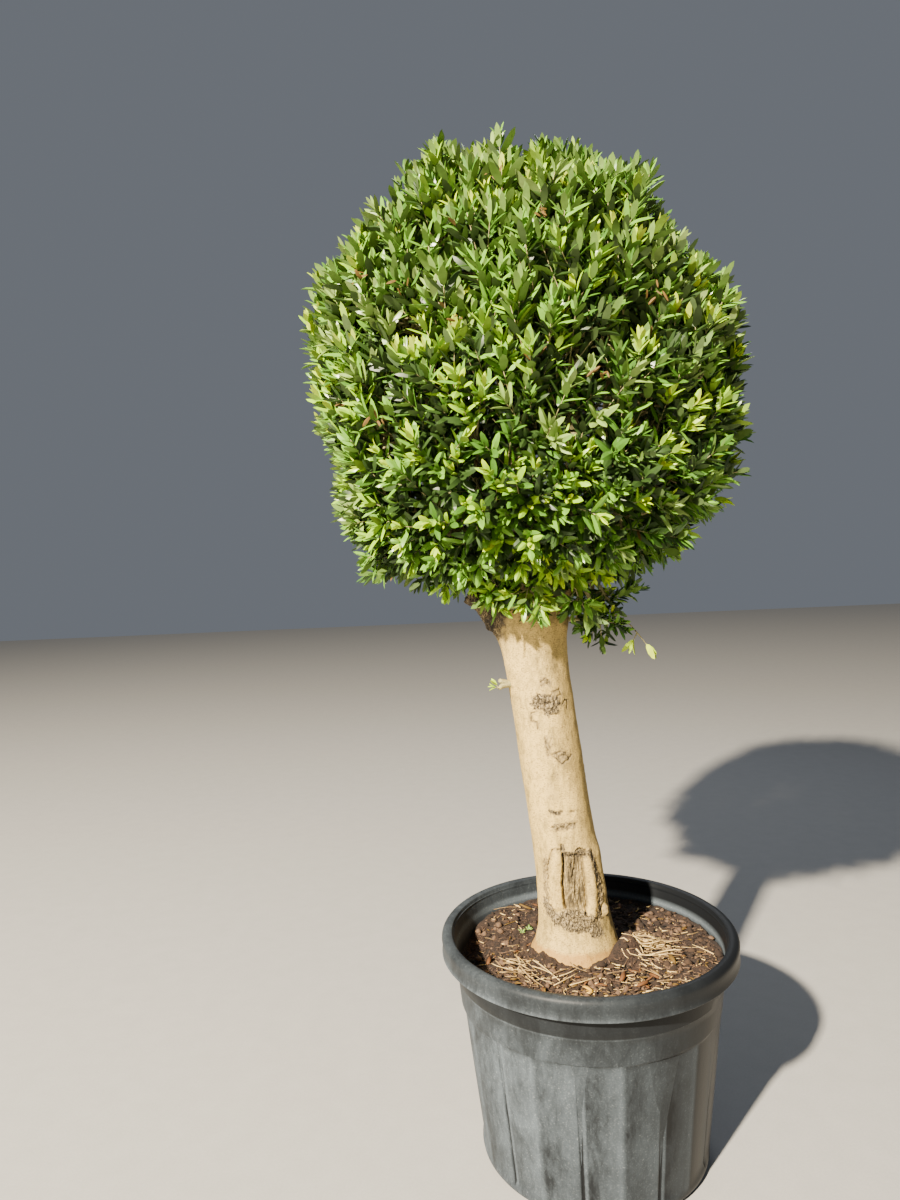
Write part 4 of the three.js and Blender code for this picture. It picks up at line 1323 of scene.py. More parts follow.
    def build(self, finishes: Finishes, wood: Material) -> list[Piece]:
        """Builds the crown.

        Args:
            finishes: Leaf materials, two for each Tint.
            wood: Material of the branches, twigs and shoots.

        Returns:
            The pieces that stand for the crown's node.
        """
        rng = np.random.default_rng(self.seed)
        bodies, sources = self.scaffold(rng)
        paths, radii, directions = self.twigs(rng, sources)
        bodies.append(tubes(paths, radii, 4))
        branches = mesh_piece("branches", *joined(bodies), [wood])
        leaves = Leaves()
        plan = self.shoot_plan(rng, paths, directions)
        shoot_paths, shoot_radii = Shoots(rng).grow(**plan, leaves=leaves)
        self.wither(rng, leaves)
        shoots = mesh_piece("shoots", *tubes(shoot_paths, shoot_radii, 3), [wood])
        kept = self.clear(leaves.together())
        offset = kept[0] - self.form.centre
        sector = ((np.arctan2(offset[:, 1], offset[:, 0]) / (2 * math.pi) % 1) * self.sectors).astype(int)
        pieces = [branches, shoots]
        for number in range(self.sectors):
            chosen = [values[sector == number] for values in kept]
            pieces.append(LeafShape().piece(f"leaves_{number + 1}", chosen, rng, finishes))
        LOG.info("crown: %d shoots, %d leaves", len(shoot_paths), len(kept[0]))
        for piece in pieces:
            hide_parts("foliage_crown")
        return pieces


@dataclass
class Tuft:
    """A small spray of leafy shoots on stems of its own."""

    name: str
    stems: tuple[tuple[Point, ...], ...]
    tips: tuple[Point, ...] = ()
    lump: tuple[Point, Point] | None = None
    lump_count: int = 0
    stem_radius: float = 0.004
    leaf_length: float = 0.04
    lift: float = -0.12
    seed: int = 11
    young_share: float = 0.3
    pairs: int = 8
    tangle: float = 0.0
    slenderness: float = 0.335
    tints: tuple[int, ...] = (MATURE, MATURE, DEEP, BRIGHT)

    def all_tips(self, rng: Rng) -> Array:
        """Returns the named tips and those that fill the lump, clear of the trunk's head."""
        tips = np.array(self.tips, float).reshape(-1, 3)
        if self.lump is None:
            return tips
        centre, half = (np.array(values) for values in self.lump)
        headings = even_directions(self.lump_count)
        filled = centre + headings * half * rng.uniform(0.45, 0.9, (self.lump_count, 1))
        clear = np.hypot(filled[:, 0] + 0.094, filled[:, 1] - 0.014) > 0.095
        return np.concatenate([tips, filled[clear]])

    def build(self, finishes: Finishes, wood: Material) -> list[Piece]:
        """Builds the tuft.

        Args:
            finishes: Leaf materials, two for each Tint.
            wood: Material of the stems and shoots.

        Returns:
            Its twigs and its leaves.
        """
        rng = np.random.default_rng(self.seed)
        start, bend, end = np.array(self.stems).transpose(1, 0, 2)
        stems = bezier(start, bend, end, 9)
        bodies = [tubes(stems, self.stem_radius * np.linspace(1, 0.5, 9)[None] * np.ones((len(stems), 1)), 6)]
        sources = stems[:, 3:].reshape(-1, 3)
        tips = self.all_tips(rng)
        gap = np.linalg.norm(tips[:, None] - sources[None], axis=-1)
        begin = sources[(gap + 0.02 * rng.random(gap.shape)).argmin(1)]
        offset = tips - begin
        length = np.linalg.norm(offset, axis=-1)
        offset = offset + self.tangle * length[:, None] * rng.normal(0, 1, offset.shape)
        leaves = Leaves()
        sprays = rng.choice(self.tints, len(tips))
        young = rng.random(len(tips)) < self.young_share
        maker = Shoots(rng, self.leaf_length, radius=0.0013, pairs=self.pairs)
        lift = np.full(len(tips), self.lift)
        paths, radii = maker.grow(begin, unit(offset), length, lift, sprays, young, leaves)
        bodies.append(tubes(paths, radii, 5))
        twigs = mesh_piece(self.name + "_twigs", *joined(bodies), [wood])
        shape = LeafShape(slenderness=self.slenderness)
        return [twigs, shape.piece(self.name + "_leaves", leaves.together(), rng, finishes)]


SKIRT = Tuft(
    "skirt",
    (
        ((-0.066, -0.004, 1.058), (0.0, -0.01, 1.05), (0.062, -0.006, 1.046)),
        ((0.0, -0.01, 1.15), (0.045, -0.02, 1.13), (0.062, -0.02, 1.085)),
        ((-0.02, -0.04, 1.15), (0.015, -0.07, 1.12), (0.025, -0.06, 1.07)),
        ((0.02, 0.03, 1.15), (0.05, 0.05, 1.12), (0.045, 0.045, 1.07)),
    ),
    tips=(
        (0.075, -0.03, 1.016), (0.058, -0.04, 1.012), (0.03, -0.055, 1.018), (0.118, -0.03, 1.068),
        (0.112, -0.02, 1.052), (0.124, -0.03, 1.082), (0.13, -0.02, 1.094), (0.108, 0.0, 1.088),
        (0.09, -0.045, 1.05), (0.014, -0.05, 1.022), (0.036, -0.03, 1.012),
    ),
    lump=((0.036, -0.008, 1.068), (0.06, 0.055, 0.052)),
    lump_count=48,
    stem_radius=0.0055,
    leaf_length=0.028,
    lift=0.15,
    young_share=0.08,
    pairs=6,
    tangle=0.55,
    slenderness=0.36,
    # Painted shade: the skirt hangs in the crown's shade, so most of its leaves are deep green or shaded
    tints=(MATURE, DEEP, DEEP, SHADED, SHADED),
)
DROOP = Tuft(
    "droop",
    (((0.07, -0.02, 1.06), (0.1, -0.028, 1.045), (0.112, -0.034, 1.022)),),
    tips=((0.128, -0.046, 1.0), (0.104, -0.034, 1.008)),
    stem_radius=0.0016,
    leaf_length=0.052,
    lift=-0.05,
    seed=3,
    young_share=1.0,
    pairs=1,
)
FRINGE = Tuft(
    "fringe",
    (
        ((-0.13, -0.05, 1.18), (-0.165, -0.1, 1.165), (-0.17, -0.118, 1.12)),
        ((-0.1, -0.08, 1.19), (-0.105, -0.13, 1.17), (-0.1, -0.138, 1.125)),
        ((-0.05, -0.06, 1.17), (-0.025, -0.11, 1.15), (-0.01, -0.11, 1.1)),
    ),
    tips=(
        (-0.2, -0.1, 1.105), (-0.186, -0.11, 1.094), (-0.162, -0.13, 1.1), (-0.15, -0.132, 1.078),
        (-0.126, -0.135, 1.072), (-0.134, -0.14, 1.1), (-0.11, -0.146, 1.092), (-0.084, -0.142, 1.1),
        (-0.06, -0.13, 1.09), (-0.035, -0.13, 1.08), (-0.012, -0.12, 1.07), (0.01, -0.1, 1.06),
        (-0.03, -0.14, 1.115), (-0.07, -0.15, 1.13), (-0.19, -0.13, 1.14), (0.02, -0.12, 1.09),
        (-0.173, -0.12, 1.102), (-0.149, -0.12, 1.106), (-0.125, -0.12, 1.074), (-0.016, -0.1, 1.057),
        (-0.04, -0.1, 1.073), (0.011, -0.1, 1.045), (-0.191, -0.14, 1.13),
        (-0.144, -0.121, 1.088), (-0.113, -0.107, 1.09), (-0.147, -0.156, 1.12), (-0.118, -0.115, 1.135),
        (-0.15, -0.164, 1.172), (-0.153, -0.132, 1.142), (-0.1, -0.11, 1.11), (-0.13, -0.15, 1.15),
        (-0.09, -0.12, 1.14), (-0.11, -0.16, 1.13), (-0.16, -0.15, 1.1), (-0.085, -0.1, 1.1),
        (-0.1, -0.15, 1.064), (-0.116, -0.165, 1.08), (-0.13, -0.17, 1.09), (-0.084, -0.135, 1.062),
    ),
    stem_radius=0.0026,
    leaf_length=0.038,
    lift=0.3,
    seed=23,
    young_share=0.34,
    pairs=4,
    tangle=0.6,
)
SPROUT = Tuft(
    "sprout",
    (
        ((-0.132, -0.014, 0.93), (-0.149, -0.022, 0.936), (-0.156, -0.028, 0.941)),
        ((-0.14, -0.016, 0.932), (-0.152, -0.025, 0.931), (-0.157, -0.03, 0.925)),
    ),
    tips=((-0.166, -0.036, 0.93), (-0.163, -0.032, 0.934)),
    stem_radius=0.0078,
    leaf_length=0.028,
    seed=5,
    young_share=1.0,
    pairs=1,
    slenderness=0.45,
)


# Pot and soil


@dataclass
class NurseryPot:
    """A round moulded container: rounded foot, fluted panels, stepped band and a hanging lip."""

    height: float = 0.439
    rim_radius: float = 0.290
    rim_width: float = 0.022
    rim_rounding: float = 0.0115
    lip_height: float = 0.039
    lip_thickness: float = 0.0035
    body_top_radius: float = 0.265
    foot_radius: float = 0.222
    foot_rounding: float = 0.014
    wall: float = 0.004
    floor: float = 0.006
    inner_foot: float = 0.021
    band_height: float = 0.355
    band_step: float = 0.0015
    panel_top: float = 0.305
    panel_count: int = 10
    panel_radius: float = 0.245
    panel_depth: float = 0.0034
    panel_ridge: float = 0.0018
    panel_recess: float = 0.002
    panel_phase: float = math.radians(-68.4)
    drain_radius: float = 0.008
    drain_circle: float = 0.165
    drain_count: int = 6
    steps: int = 240
    crease: float = math.radians(38)

    def body_radius(self, height: float) -> float:
        """Outer radius of the body at a height."""
        share = height / (self.height - self.lip_height)
        return self.foot_radius + (self.body_top_radius - self.foot_radius) * share

    def inner_radius(self, height: float) -> float:
        """Inner radius of the wall at a height."""
        low, high = self.inner_foot, self.height - self.lip_height - 0.006
        bottom = self.body_radius(self.foot_rounding) - self.wall - self.panel_depth
        top = self.body_radius(self.height - self.lip_height) - self.wall
        return bottom + (top - bottom) * (height - low) / (high - low)

    def profile(self) -> list[tuple[float, float]]:
        """Returns radius and height of the wall's section, from the floor outside to inside."""
        rows = [(0.0, 0.0), (0.1, 0.0), (self.foot_radius - self.foot_rounding, 0.0)]
        reach = self.body_radius(self.foot_rounding) - self.foot_radius + self.foot_rounding
        for degrees in (22, 45, 68, 90):
            turn = math.radians(degrees)
            rows.append((
                self.foot_radius - self.foot_rounding + reach * math.sin(turn),
                self.foot_rounding * (1 - math.cos(turn)),
            ))
        heights = [0.018, 0.022, 0.028, *np.linspace(0.04, 0.29, 14), 0.297, 0.301, 0.303, 0.305, 0.308]
        heights += [0.32, 0.34, self.band_height - 0.001]
        rows += [(self.body_radius(h), h) for h in heights]
        lip_low = self.height - self.lip_height
        for h in (self.band_height + 0.001, 0.37, 0.385, lip_low, 0.42, self.height - 0.009):
            rows.append((self.body_radius(min(h, lip_low)) + self.band_step, h))
        inside, outside = self.rim_radius - self.lip_thickness, self.rim_radius
        rows += [(0.272, self.height - 0.0055), (0.281, self.height - 0.0075), (inside, self.height - 0.014)]
        # Down the lip's inner face, round its lower edge with its bead, and up its hollowed outer face
        rows += [(reach, lip_low + above) for reach, above in (
            (inside - 0.0005, 0.004), (inside - 0.0002, 0.0008), (inside + 0.001, 0.0),
            (outside - 0.0008, 0.0002), (outside, 0.0012), (outside - 0.0002, 0.0036),
            (outside - 0.0011, 0.007), (outside - 0.0013, 0.014), (outside - 0.0009, 0.021),
        )]
        rounding = self.rim_rounding
        for degrees in (0, 15, 30, 45, 60, 75, 90):
            turn = math.radians(degrees)
            rows.append((
                outside - rounding + rounding * math.cos(turn),
                self.height - rounding + rounding * math.sin(turn),
            ))
        inner = self.rim_radius - self.rim_width
        rows += [(inner + 0.005, self.height - 0.0006), (inner + 0.0018, self.height - 0.0024)]
        rows += [(inner, self.height - 0.007), (self.inner_radius(lip_low + 0.012), lip_low + 0.012)]
        rows += [(self.inner_radius(h), h) for h in (0.406, 0.4, lip_low - 0.006, 0.37, 0.3, 0.2, 0.1, self.inner_foot)]
        rows += [(self.foot_radius - self.foot_rounding - self.wall, self.floor), (0.1, self.floor), (0.0, self.floor)]
        return rows

    def flute(self, mesh: bpy.types.Mesh) -> None:
        """Presses the panels into the turned wall, with crisp edges and a soft middle ridge."""
        places = vectors_of(mesh.vertices)
        radius = np.hypot(places[:, 0], places[:, 1])
        angle = np.arctan2(places[:, 1], places[:, 0])
        # Steps crowd towards the panel edges, so that the grooves come out crisp
        beat = self.panel_count * (angle - self.panel_phase)
        angle = angle - 0.72 * np.sin(beat) / self.panel_count
        turn = (angle - self.panel_phase) * self.panel_count / (2 * math.pi)
        share = turn - np.floor(turn)
        from_edge = np.minimum(share, 1 - share) * 2
        pitch = 2 * math.pi * self.panel_radius / self.panel_count
        gap = from_edge * pitch / 2
        depth = self.panel_depth * (1 - from_edge) ** 1.3 - self.panel_ridge * from_edge**2 + self.panel_recess
        depth += 0.0018 * np.exp(-((gap / 0.0024) ** 2))
        # One side of each groove stands a little proud of the other
        depth += 0.0009 * np.where(share < 0.5, 1, -1) * np.exp(-from_edge / 0.1) * (from_edge > 0.02)
        ledge = smoothstep(places[:, 2], self.foot_rounding, 0.03)
        ledge *= 1 - smoothstep(places[:, 2], self.panel_top - 0.004, self.panel_top)
        body = np.interp(places[:, 2], [0, self.height - self.lip_height], [self.foot_radius, self.body_top_radius])
        on_wall = np.abs(radius - body) < 0.0008
        # The moulding is never quite round: it bulges a little with the weight of the soil
        slack = 0.0012 * np.sin(2 * angle + 0.6) * smoothstep(places[:, 2], 0.02, 0.2)
        slack *= 1 - smoothstep(places[:, 2], 0.3, 0.38)
        radius = radius - np.where(on_wall, depth * ledge - slack, 0)
        places[:, 0], places[:, 1] = radius * np.cos(angle), radius * np.sin(angle)
        # Rubbed ridges are pale, and each groove is painted dark: painted shade
        ridge = 1.1 * np.exp(-(((gap - 0.0072) / 0.003) ** 2)) * (share < 0.5) - 1.2 * np.exp(-((gap / 0.003) ** 2))
        ridge += 0.6 * np.exp(-(((1 - from_edge) / 0.06) ** 2))
        # Painted light: each facet is paler towards the next ridge or groove, as if it turned towards the lamp
        ridge += 0.9 * ((2 * share) % 1 - 0.5)
        # Dust clings to the inner wall above the soil
        inner = (radius < body - self.wall / 2) & (places[:, 2] > 0.38)
        tidemark = np.exp(-(((places[:, 2] - 0.4) / 0.004) ** 2))
        store(mesh, places, ridge=np.where(on_wall, ridge * ledge, inner * (0.75 + tidemark)))

    def drill(self, piece: Piece) -> None:
        """Cuts the drain holes through the floor."""
        drills = []
        for number in range(self.drain_count):
            turn = 2 * math.pi * number / self.drain_count
            bpy.ops.mesh.primitive_cylinder_add(
                vertices=20, radius=self.drain_radius, depth=self.floor * 3,
                location=(self.drain_circle * math.cos(turn), self.drain_circle * math.sin(turn), 0),
            )
            drills.append(bpy.context.active_object)
        for drill in drills:
            cut = piece.modifiers.new("drain", "BOOLEAN")
            cut.operation, cut.solver, cut.object = "DIFFERENCE", "EXACT", drill
            select_only(piece)
            bpy.ops.object.modifier_apply(modifier=cut.name)
        for drill in drills:
            bpy.data.objects.remove(drill, do_unlink=True)

    def build(self, finish: Material) -> Piece:
        """Builds the pot by spinning its section.

        Args:
            finish: Its material.

        Returns:
            The piece that stands for the pot's node.
        """
        rows = self.profile()
        mesh = bpy.data.meshes.new("pot_shell")
        edges = [(i, i + 1) for i in range(len(rows) - 1)]
        mesh.from_pydata([(r, 0.0, z) for r, z in rows], edges, [])
        mesh.materials.append(finish)
        piece = placed("pot_shell", mesh)
        select_only(piece)
        bpy.ops.object.mode_set(mode="EDIT")
        bpy.ops.mesh.select_all(action="SELECT")
        bpy.ops.mesh.spin(steps=self.steps, angle=2 * math.pi, center=(0, 0, 0), axis=(0, 0, 1))
        bpy.ops.mesh.select_all(action="SELECT")
        bpy.ops.mesh.remove_doubles(threshold=1e-5)
        bpy.ops.mesh.normals_make_consistent(inside=False)
        bpy.ops.object.mode_set(mode="OBJECT")
        self.drill(piece)
        in_order(mesh)
        self.flute(mesh)
        bpy.ops.object.shade_smooth_by_angle(angle=self.crease)
        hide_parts("pot")
        return piece


@dataclass
class Compost:
    """The soil that fills the pot, with clods, fibres, straw and fallen leaves on it."""

    pot: NurseryPot
    height: float = 0.393
    rings: int = 72
    steps: int = 170
    seed: int = 7
    clod_count: int = 2800
    fibre_count: int = 1100
    shred_count: int = 3000
    broken_leaves: int = 130
    weed_leaves: int = 22
    # Straw: middle, spread, number of strands, the angle that they lie at in degrees and its spread
    clumps: Rows = (
        (0.118, -0.04, 0.024, 0.014, 46, -16, 30), (0.105, -0.07, 0.026, 0.016, 26, -45, 50),
        (-0.15, -0.08, 0.018, 0.03, 26, -48, 30), (-0.1, -0.11, 0.03, 0.016, 12, -30, 40),
        (0.03, -0.145, 0.07, 0.02, 16, -10, 45), (-0.158, 0.165, 0.02, 0.01, 5, -30, 20),
        (0.0, 0.12, 0.12, 0.06, 8, 0, 90), (0.19, 0.03, 0.03, 0.07, 4, 60, 60),
    )

    def level(self, x: Array, y: Array) -> Array:
        """Height of the soil's surface at these places."""
        places = np.stack([x, y, np.zeros_like(x)], -1).reshape(-1, 3)
        broad = noise_at(places, 0.07, 2, 5.0).reshape(x.shape)
        fine = noise_at(places, 0.014, 4, 9.0).reshape(x.shape)
        from_trunk = np.hypot(x + 0.014, y)
        from_centre = np.hypot(x, y)
        mound = (0.01 + 0.008 * broad) * np.exp(-(((from_trunk - 0.092) / 0.026) ** 2))
        heap = 0.04 * np.exp(-((x - 0.072) ** 2 / 0.03**2 + (y + 0.054) ** 2 / 0.024**2))
        heap = np.maximum(heap, 0.022 * np.exp(-((x - 0.11) ** 2 + (y + 0.03) ** 2) / 0.035**2))
        hollow = -0.046 * np.exp(-((x + 0.245) ** 2 + (y - 0.04) ** 2) / 0.085**2)
        edge = 1 - smoothstep(from_centre, 0.235, 0.257)
        return self.height + (0.005 * broad + mound + heap) * edge + hollow + 0.0055 * fine

    def body(self, finish: Material) -> Piece:
        """Returns the soil as one closed body."""
        # A hair inside the pot's wall, and above its floor
        low, floor = self.pot.inner_foot, self.pot.floor + 0.0003
        top = self.pot.inner_radius(self.height) - 0.0008
        shares = np.linspace(0, 1, self.rings) ** 0.8
        turn = np.arange(self.steps) * 2 * math.pi / self.steps
        rows = [(top * share, None) for share in shares[1:]]
        rows += [(self.pot.inner_radius(0.37) - 0.0006, 0.37), (self.pot.inner_radius(low) - 0.001, low)]
        rows += [(self.pot.foot_radius - self.pot.foot_rounding - self.pot.wall - 0.001, floor)]
        points = [np.array([[0.0, 0.0, self.height]])]
        for radius, height in rows:
            x, y = radius * np.cos(turn), radius * np.sin(turn)
            z = self.level(x, y) if height is None else np.full(self.steps, height)
            points.append(np.stack([x, y, z], -1))
        points.append(np.array([[0.0, 0.0, floor]]))
        points = np.concatenate(points)
        corner = np.arange(len(rows) * self.steps).reshape(len(rows), self.steps) + 1
        inner, outer = corner[:-1], corner[1:]
        inner_next, outer_next = np.roll(inner, -1, 1), np.roll(outer, -1, 1)
        walls = np.stack([inner, outer, outer_next, inner, outer_next, inner_next], -1).reshape(-1, 3)
        first, last = corner[0], corner[-1]
        cap = np.stack([np.zeros_like(first), first, np.roll(first, -1)], -1)
        base = np.stack([np.full_like(last, len(points) - 1), np.roll(last, -1), last], -1)
        piece = mesh_piece("compost", points, np.concatenate([cap, walls, base]), [finish])
        select_only(piece)
        bpy.ops.object.shade_smooth()
        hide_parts("soil")
        return piece

    def scattered(self, rng: Rng, count: int, reach: float = 0.25) -> Pair:
        """Even random places on the soil, clear of the trunk."""
        radius = reach * np.sqrt(rng.random(count * 2))
        turn = rng.uniform(0, 2 * math.pi, count * 2)
        x, y = radius * np.cos(turn), radius * np.sin(turn)
        clear = np.hypot(x + 0.02, y) > 0.1
        return x[clear][:count], y[clear][:count]

    def clods(self, rng: Rng, finishes: Finishes) -> Piece:
        """Returns crumbs of compost, each a lumpy eight-sided pebble."""
        x, y = self.scattered(rng, self.clod_count, 0.253)
        count = len(x)
        turn = np.arange(6) * math.pi / 3
        ring = np.stack([np.cos(turn), np.sin(turn), np.zeros(6)], -1)
        shape = np.concatenate([ring, [[0, 0, 0.75]], [[0, 0, -0.75]]])
        nexts = np.roll(np.arange(6), -1)
        faces = [(i, nexts[i], 6) for i in range(6)] + [(nexts[i], i, 7) for i in range(6)]
        size = 0.0013 + 0.008 * rng.random(count) ** 5
        scale = size[:, None, None] * rng.uniform(0.65, 1.35, (count, 1, 3))
        lumpy = shape[None] * scale * rng.uniform(0.75, 1.25, (count, 8, 1))
        spin = rng.uniform(0, 6.3, count)[:, None]
        turned = np.stack([
            lumpy[..., 0] * np.cos(spin) - lumpy[..., 1] * np.sin(spin),
            lumpy[..., 0] * np.sin(spin) + lumpy[..., 1] * np.cos(spin),
            lumpy[..., 2],
        ], -1)
        centre = np.stack([x, y, self.level(x, y) + 0.25 * size], -1)
        points = (turned + centre[:, None]).reshape(-1, 3)
        faces = (np.array(faces)[None] + (np.arange(count) * 8)[:, None, None]).reshape(-1, 3)
        slots = np.repeat(rng.choice(len(finishes), count), 12)
        return mesh_piece("clods", points, faces, finishes, slots)

    def strands(
        self, name: str, rng: Rng, middle: Array, turn: Array,
        long: tuple[float, float], radius: float, finishes: Finishes, stack: float = 0.0,
    ) -> Piece:
        """Lays thin bent strands on the soil.

        Args:
            name: Name of the piece.
            rng: Random numbers.
            middle: Middle of each strand, two columns.
            turn: Angle that each strand lies at.
            long: Shortest and longest strand in metres.
            radius: Half thickness.
            finishes: Materials to deal out.
            stack: How high the strands lie on each other.

        Returns:
            The piece.
        """
        count, rings = len(middle), 5 if long[1] > 0.03 else 3
        length = rng.uniform(*long, count)
        heading = np.stack([np.cos(turn), np.sin(turn)], -1)
        half = (length / 2)[:, None] * heading
        side = np.stack([-heading[:, 1], heading[:, 0]], -1)
        bow = (rng.normal(0, 0.15, count) * length)[:, None] * side
        flat = bezier(middle - half, middle + bow, middle + half, rings)
        over = np.hypot(flat[..., 0], flat[..., 1])[..., None]
        flat = flat * np.minimum(1, 0.252 / np.maximum(over, 1e-6))
        ground = self.level(flat[..., 0], flat[..., 1])
        tilt = np.linspace(-1, 1, rings)[None] * rng.normal(0, 0.13, (count, 1)) * length[:, None] / 2
        lift = rng.random((count, 1)) ** 1.5 * stack + radius
        z = np.maximum(ground + radius * 0.3, ground.mean(1, keepdims=True) + tilt + lift)
        paths = np.concatenate([flat, z[..., None]], -1)
        radii = radius * rng.uniform(0.45, 1.5, (count, 1)) * np.linspace(1.0, 0.45, rings)
        points, faces = tubes(paths, radii, 4)
        slots = np.repeat(rng.choice(len(finishes), count), len(faces) // count)
        return mesh_piece(name, points, faces, finishes, slots)

    def litter(self, rng: Rng, browns: Finishes, straws: Finishes) -> list[Piece]:
        """Lays fibres, wood shreds and straw on the soil.

        Args:
            rng: Random numbers.
            browns: Materials of the fibres and most of the shreds.
            straws: Materials of the straw and the palest shreds.

        Returns:
            A piece of each kind.
        """
        pieces = []
        x, y = self.scattered(rng, self.fibre_count)
        turn = rng.uniform(0, math.pi, len(x))
        pieces.append(self.strands("fibres", rng, np.stack([x, y], -1), turn, (0.006, 0.018), 0.0006, browns))
        # Shreds lie thickest in front of the trunk and on its right
        x, y = self.scattered(rng, self.shred_count)
        thick = 0.16 + np.exp(-((x + 0.02) ** 2 / 0.13**2 + (y + 0.14) ** 2 / 0.05**2))
        thick += 0.9 * np.exp(-((x - 0.14) ** 2 / 0.07**2 + (y + 0.03) ** 2 / 0.09**2))
        chosen = rng.random(len(x)) < thick
        x, y = x[chosen], y[chosen]
        turn = rng.uniform(0, math.pi, len(x))
        stuff = [browns[1], browns[2], browns[2], *straws]
        pieces.append(self.strands("shreds", rng, np.stack([x, y], -1), turn, (0.005, 0.019), 0.0011, stuff, 0.004))
        middle, turn = [], []
        for cx, cy, wide, deep, count, degrees, spread in self.clumps:
            middle.append(np.stack([rng.normal(cx, wide, count), rng.normal(cy, deep, count)], -1))
            turn.append(np.radians(rng.normal(degrees, spread, count)))
        middle, turn = np.concatenate(middle), np.concatenate(turn)
        clear = (np.hypot(middle[:, 0] + 0.018, middle[:, 1]) > 0.108) & (np.hypot(*middle.T) < 0.235)
        pieces.append(self.strands("straw", rng, middle[clear], turn[clear], (0.014, 0.062), 0.0012, straws, 0.017))
        return pieces

    def fallen(self, rng: Rng, finishes: Finishes) -> list[Piece]:
        """Returns the fallen leaves and the small weed, placed where they lie in the pot."""
        # Place, heading in degrees, length, tint
        lying = np.array([
            (-0.201, -0.012, 75, 0.03, LITTER), (-0.122, 0.024, 30, 0.026, LITTER), (0.035, -0.15, 60, 0.034, LITTER),
            (0.012, -0.158, 150, 0.03, LITTER), (0.06, -0.168, 20, 0.028, LITTER),
            (-0.037, -0.176, 10, 0.028, YELLOWED), (-0.02, -0.184, 140, 0.022, YELLOWED),
            (0.15, -0.1, 100, 0.032, DEAD), (0.2, 0.05, 45, 0.03, DEAD), (-0.09, 0.19, 160, 0.034, DEAD),
            (0.1, 0.17, 80, 0.03, LITTER), (-0.16, 0.12, 20, 0.032, DEAD), (0.03, -0.205, 170, 0.034, DEAD),
            (0.11, -0.14, 130, 0.026, LITTER),
        ])
        # Broken brown leaves lie all over the soil, most of them in front of the trunk
        count = self.broken_leaves
        x, y = self.scattered(rng, count, 0.235)
        y[: count // 2] = -0.09 - 0.5 * np.abs(y[: count // 2])
        degrees, length = rng.uniform(0, 360, count), rng.uniform(0.007, 0.017, count)
        tint = rng.choice([DEAD, DEAD, LITTER], count)
        lying = np.concatenate([lying, np.stack([x, y, degrees, length, tint], -1)])
        lying = lying[np.hypot(lying[:, 0], lying[:, 1]) < 0.24]
        x, y, degrees, length, tint = lying.T
        turn = np.radians(degrees)
        heading = np.stack([np.cos(turn), np.sin(turn), rng.uniform(0.05, 0.35, len(x))], -1)
        root = np.stack([x, y, self.level(x, y) + 0.002], -1)
        face = UP + rng.normal(0, 0.4, (len(x), 3))
        leaves = Leaves()
        leaves.add(root, unit(heading), face, length, tint.astype(int))
        curled = LeafShape(slenderness=0.38, fold=0.7)
        litter = curled.piece("fallen_leaves", leaves.together(), rng, finishes)
        count = self.weed_leaves
        middle = np.array([[-0.123, 0.084], [-0.108, 0.092]])[np.arange(count) % 2]
        turn = GOLDEN_ANGLE * np.arange(count)
        lift = rng.uniform(0.3, 1.6, count)
        heading = unit(np.stack([np.cos(turn), np.sin(turn), lift], -1))
        root = np.concatenate([middle, self.level(middle[:, 0], middle[:, 1])[:, None]], -1)
        weed = Leaves()
        weed.add(root, heading, UP + 0.2 * heading, rng.uniform(0.007, 0.014, count), np.full(count, GREYED))
        return [litter, LeafShape(slenderness=0.5).piece("weed", weed.together(), rng, finishes)]

    def build(self, leaf_finishes: Finishes) -> list[Piece]:
        """Builds the soil and what lies on it.

        Args:
            leaf_finishes: Leaf materials, two for each Tint.

        Returns:
            The pieces, the soil first.
        """
        rng = np.random.default_rng(self.seed)
        # Damp peat is matt and nearly black, and browner where its top has dried
        peat = Grained("peat_compost", 0.95, "#110c08", "#3f2d22", 26.0, 2.4, 0.0035).make()
        # Crumbs, red-brown fibres and chips of composted bark, all matt and unevenly dark
        browns = [
            Grained("compost_crumb", 0.95, "#19110b", "#312217", 5.0, 1.2, 0.0004).make(),
            Grained("compost_crumb_red", 0.95, "#2c1f15", "#453324", 5.0, 1.2, 0.0004).make(),
            Grained("bark_chip", 0.9, "#4a3627", "#6f5741", 5.0, 1.2, 0.0004).make(),
        ]
        # Threshed straw is pale gold with a slight gloss, and greys as it rots
        straws = [
            Grained("dry_straw", 0.7, "#b8924c", "#e8d093", 14.0, 1.6, 0.0002).make(),
            Grained("old_straw", 0.75, "#6b5233", "#a58a5a", 14.0, 1.6, 0.0002).make(),
        ]
        pieces = [self.body(peat), self.clods(rng, browns)]
        pieces += self.litter(rng, browns, straws)
        pieces += self.fallen(rng, leaf_finishes)
        return pieces


# Studio


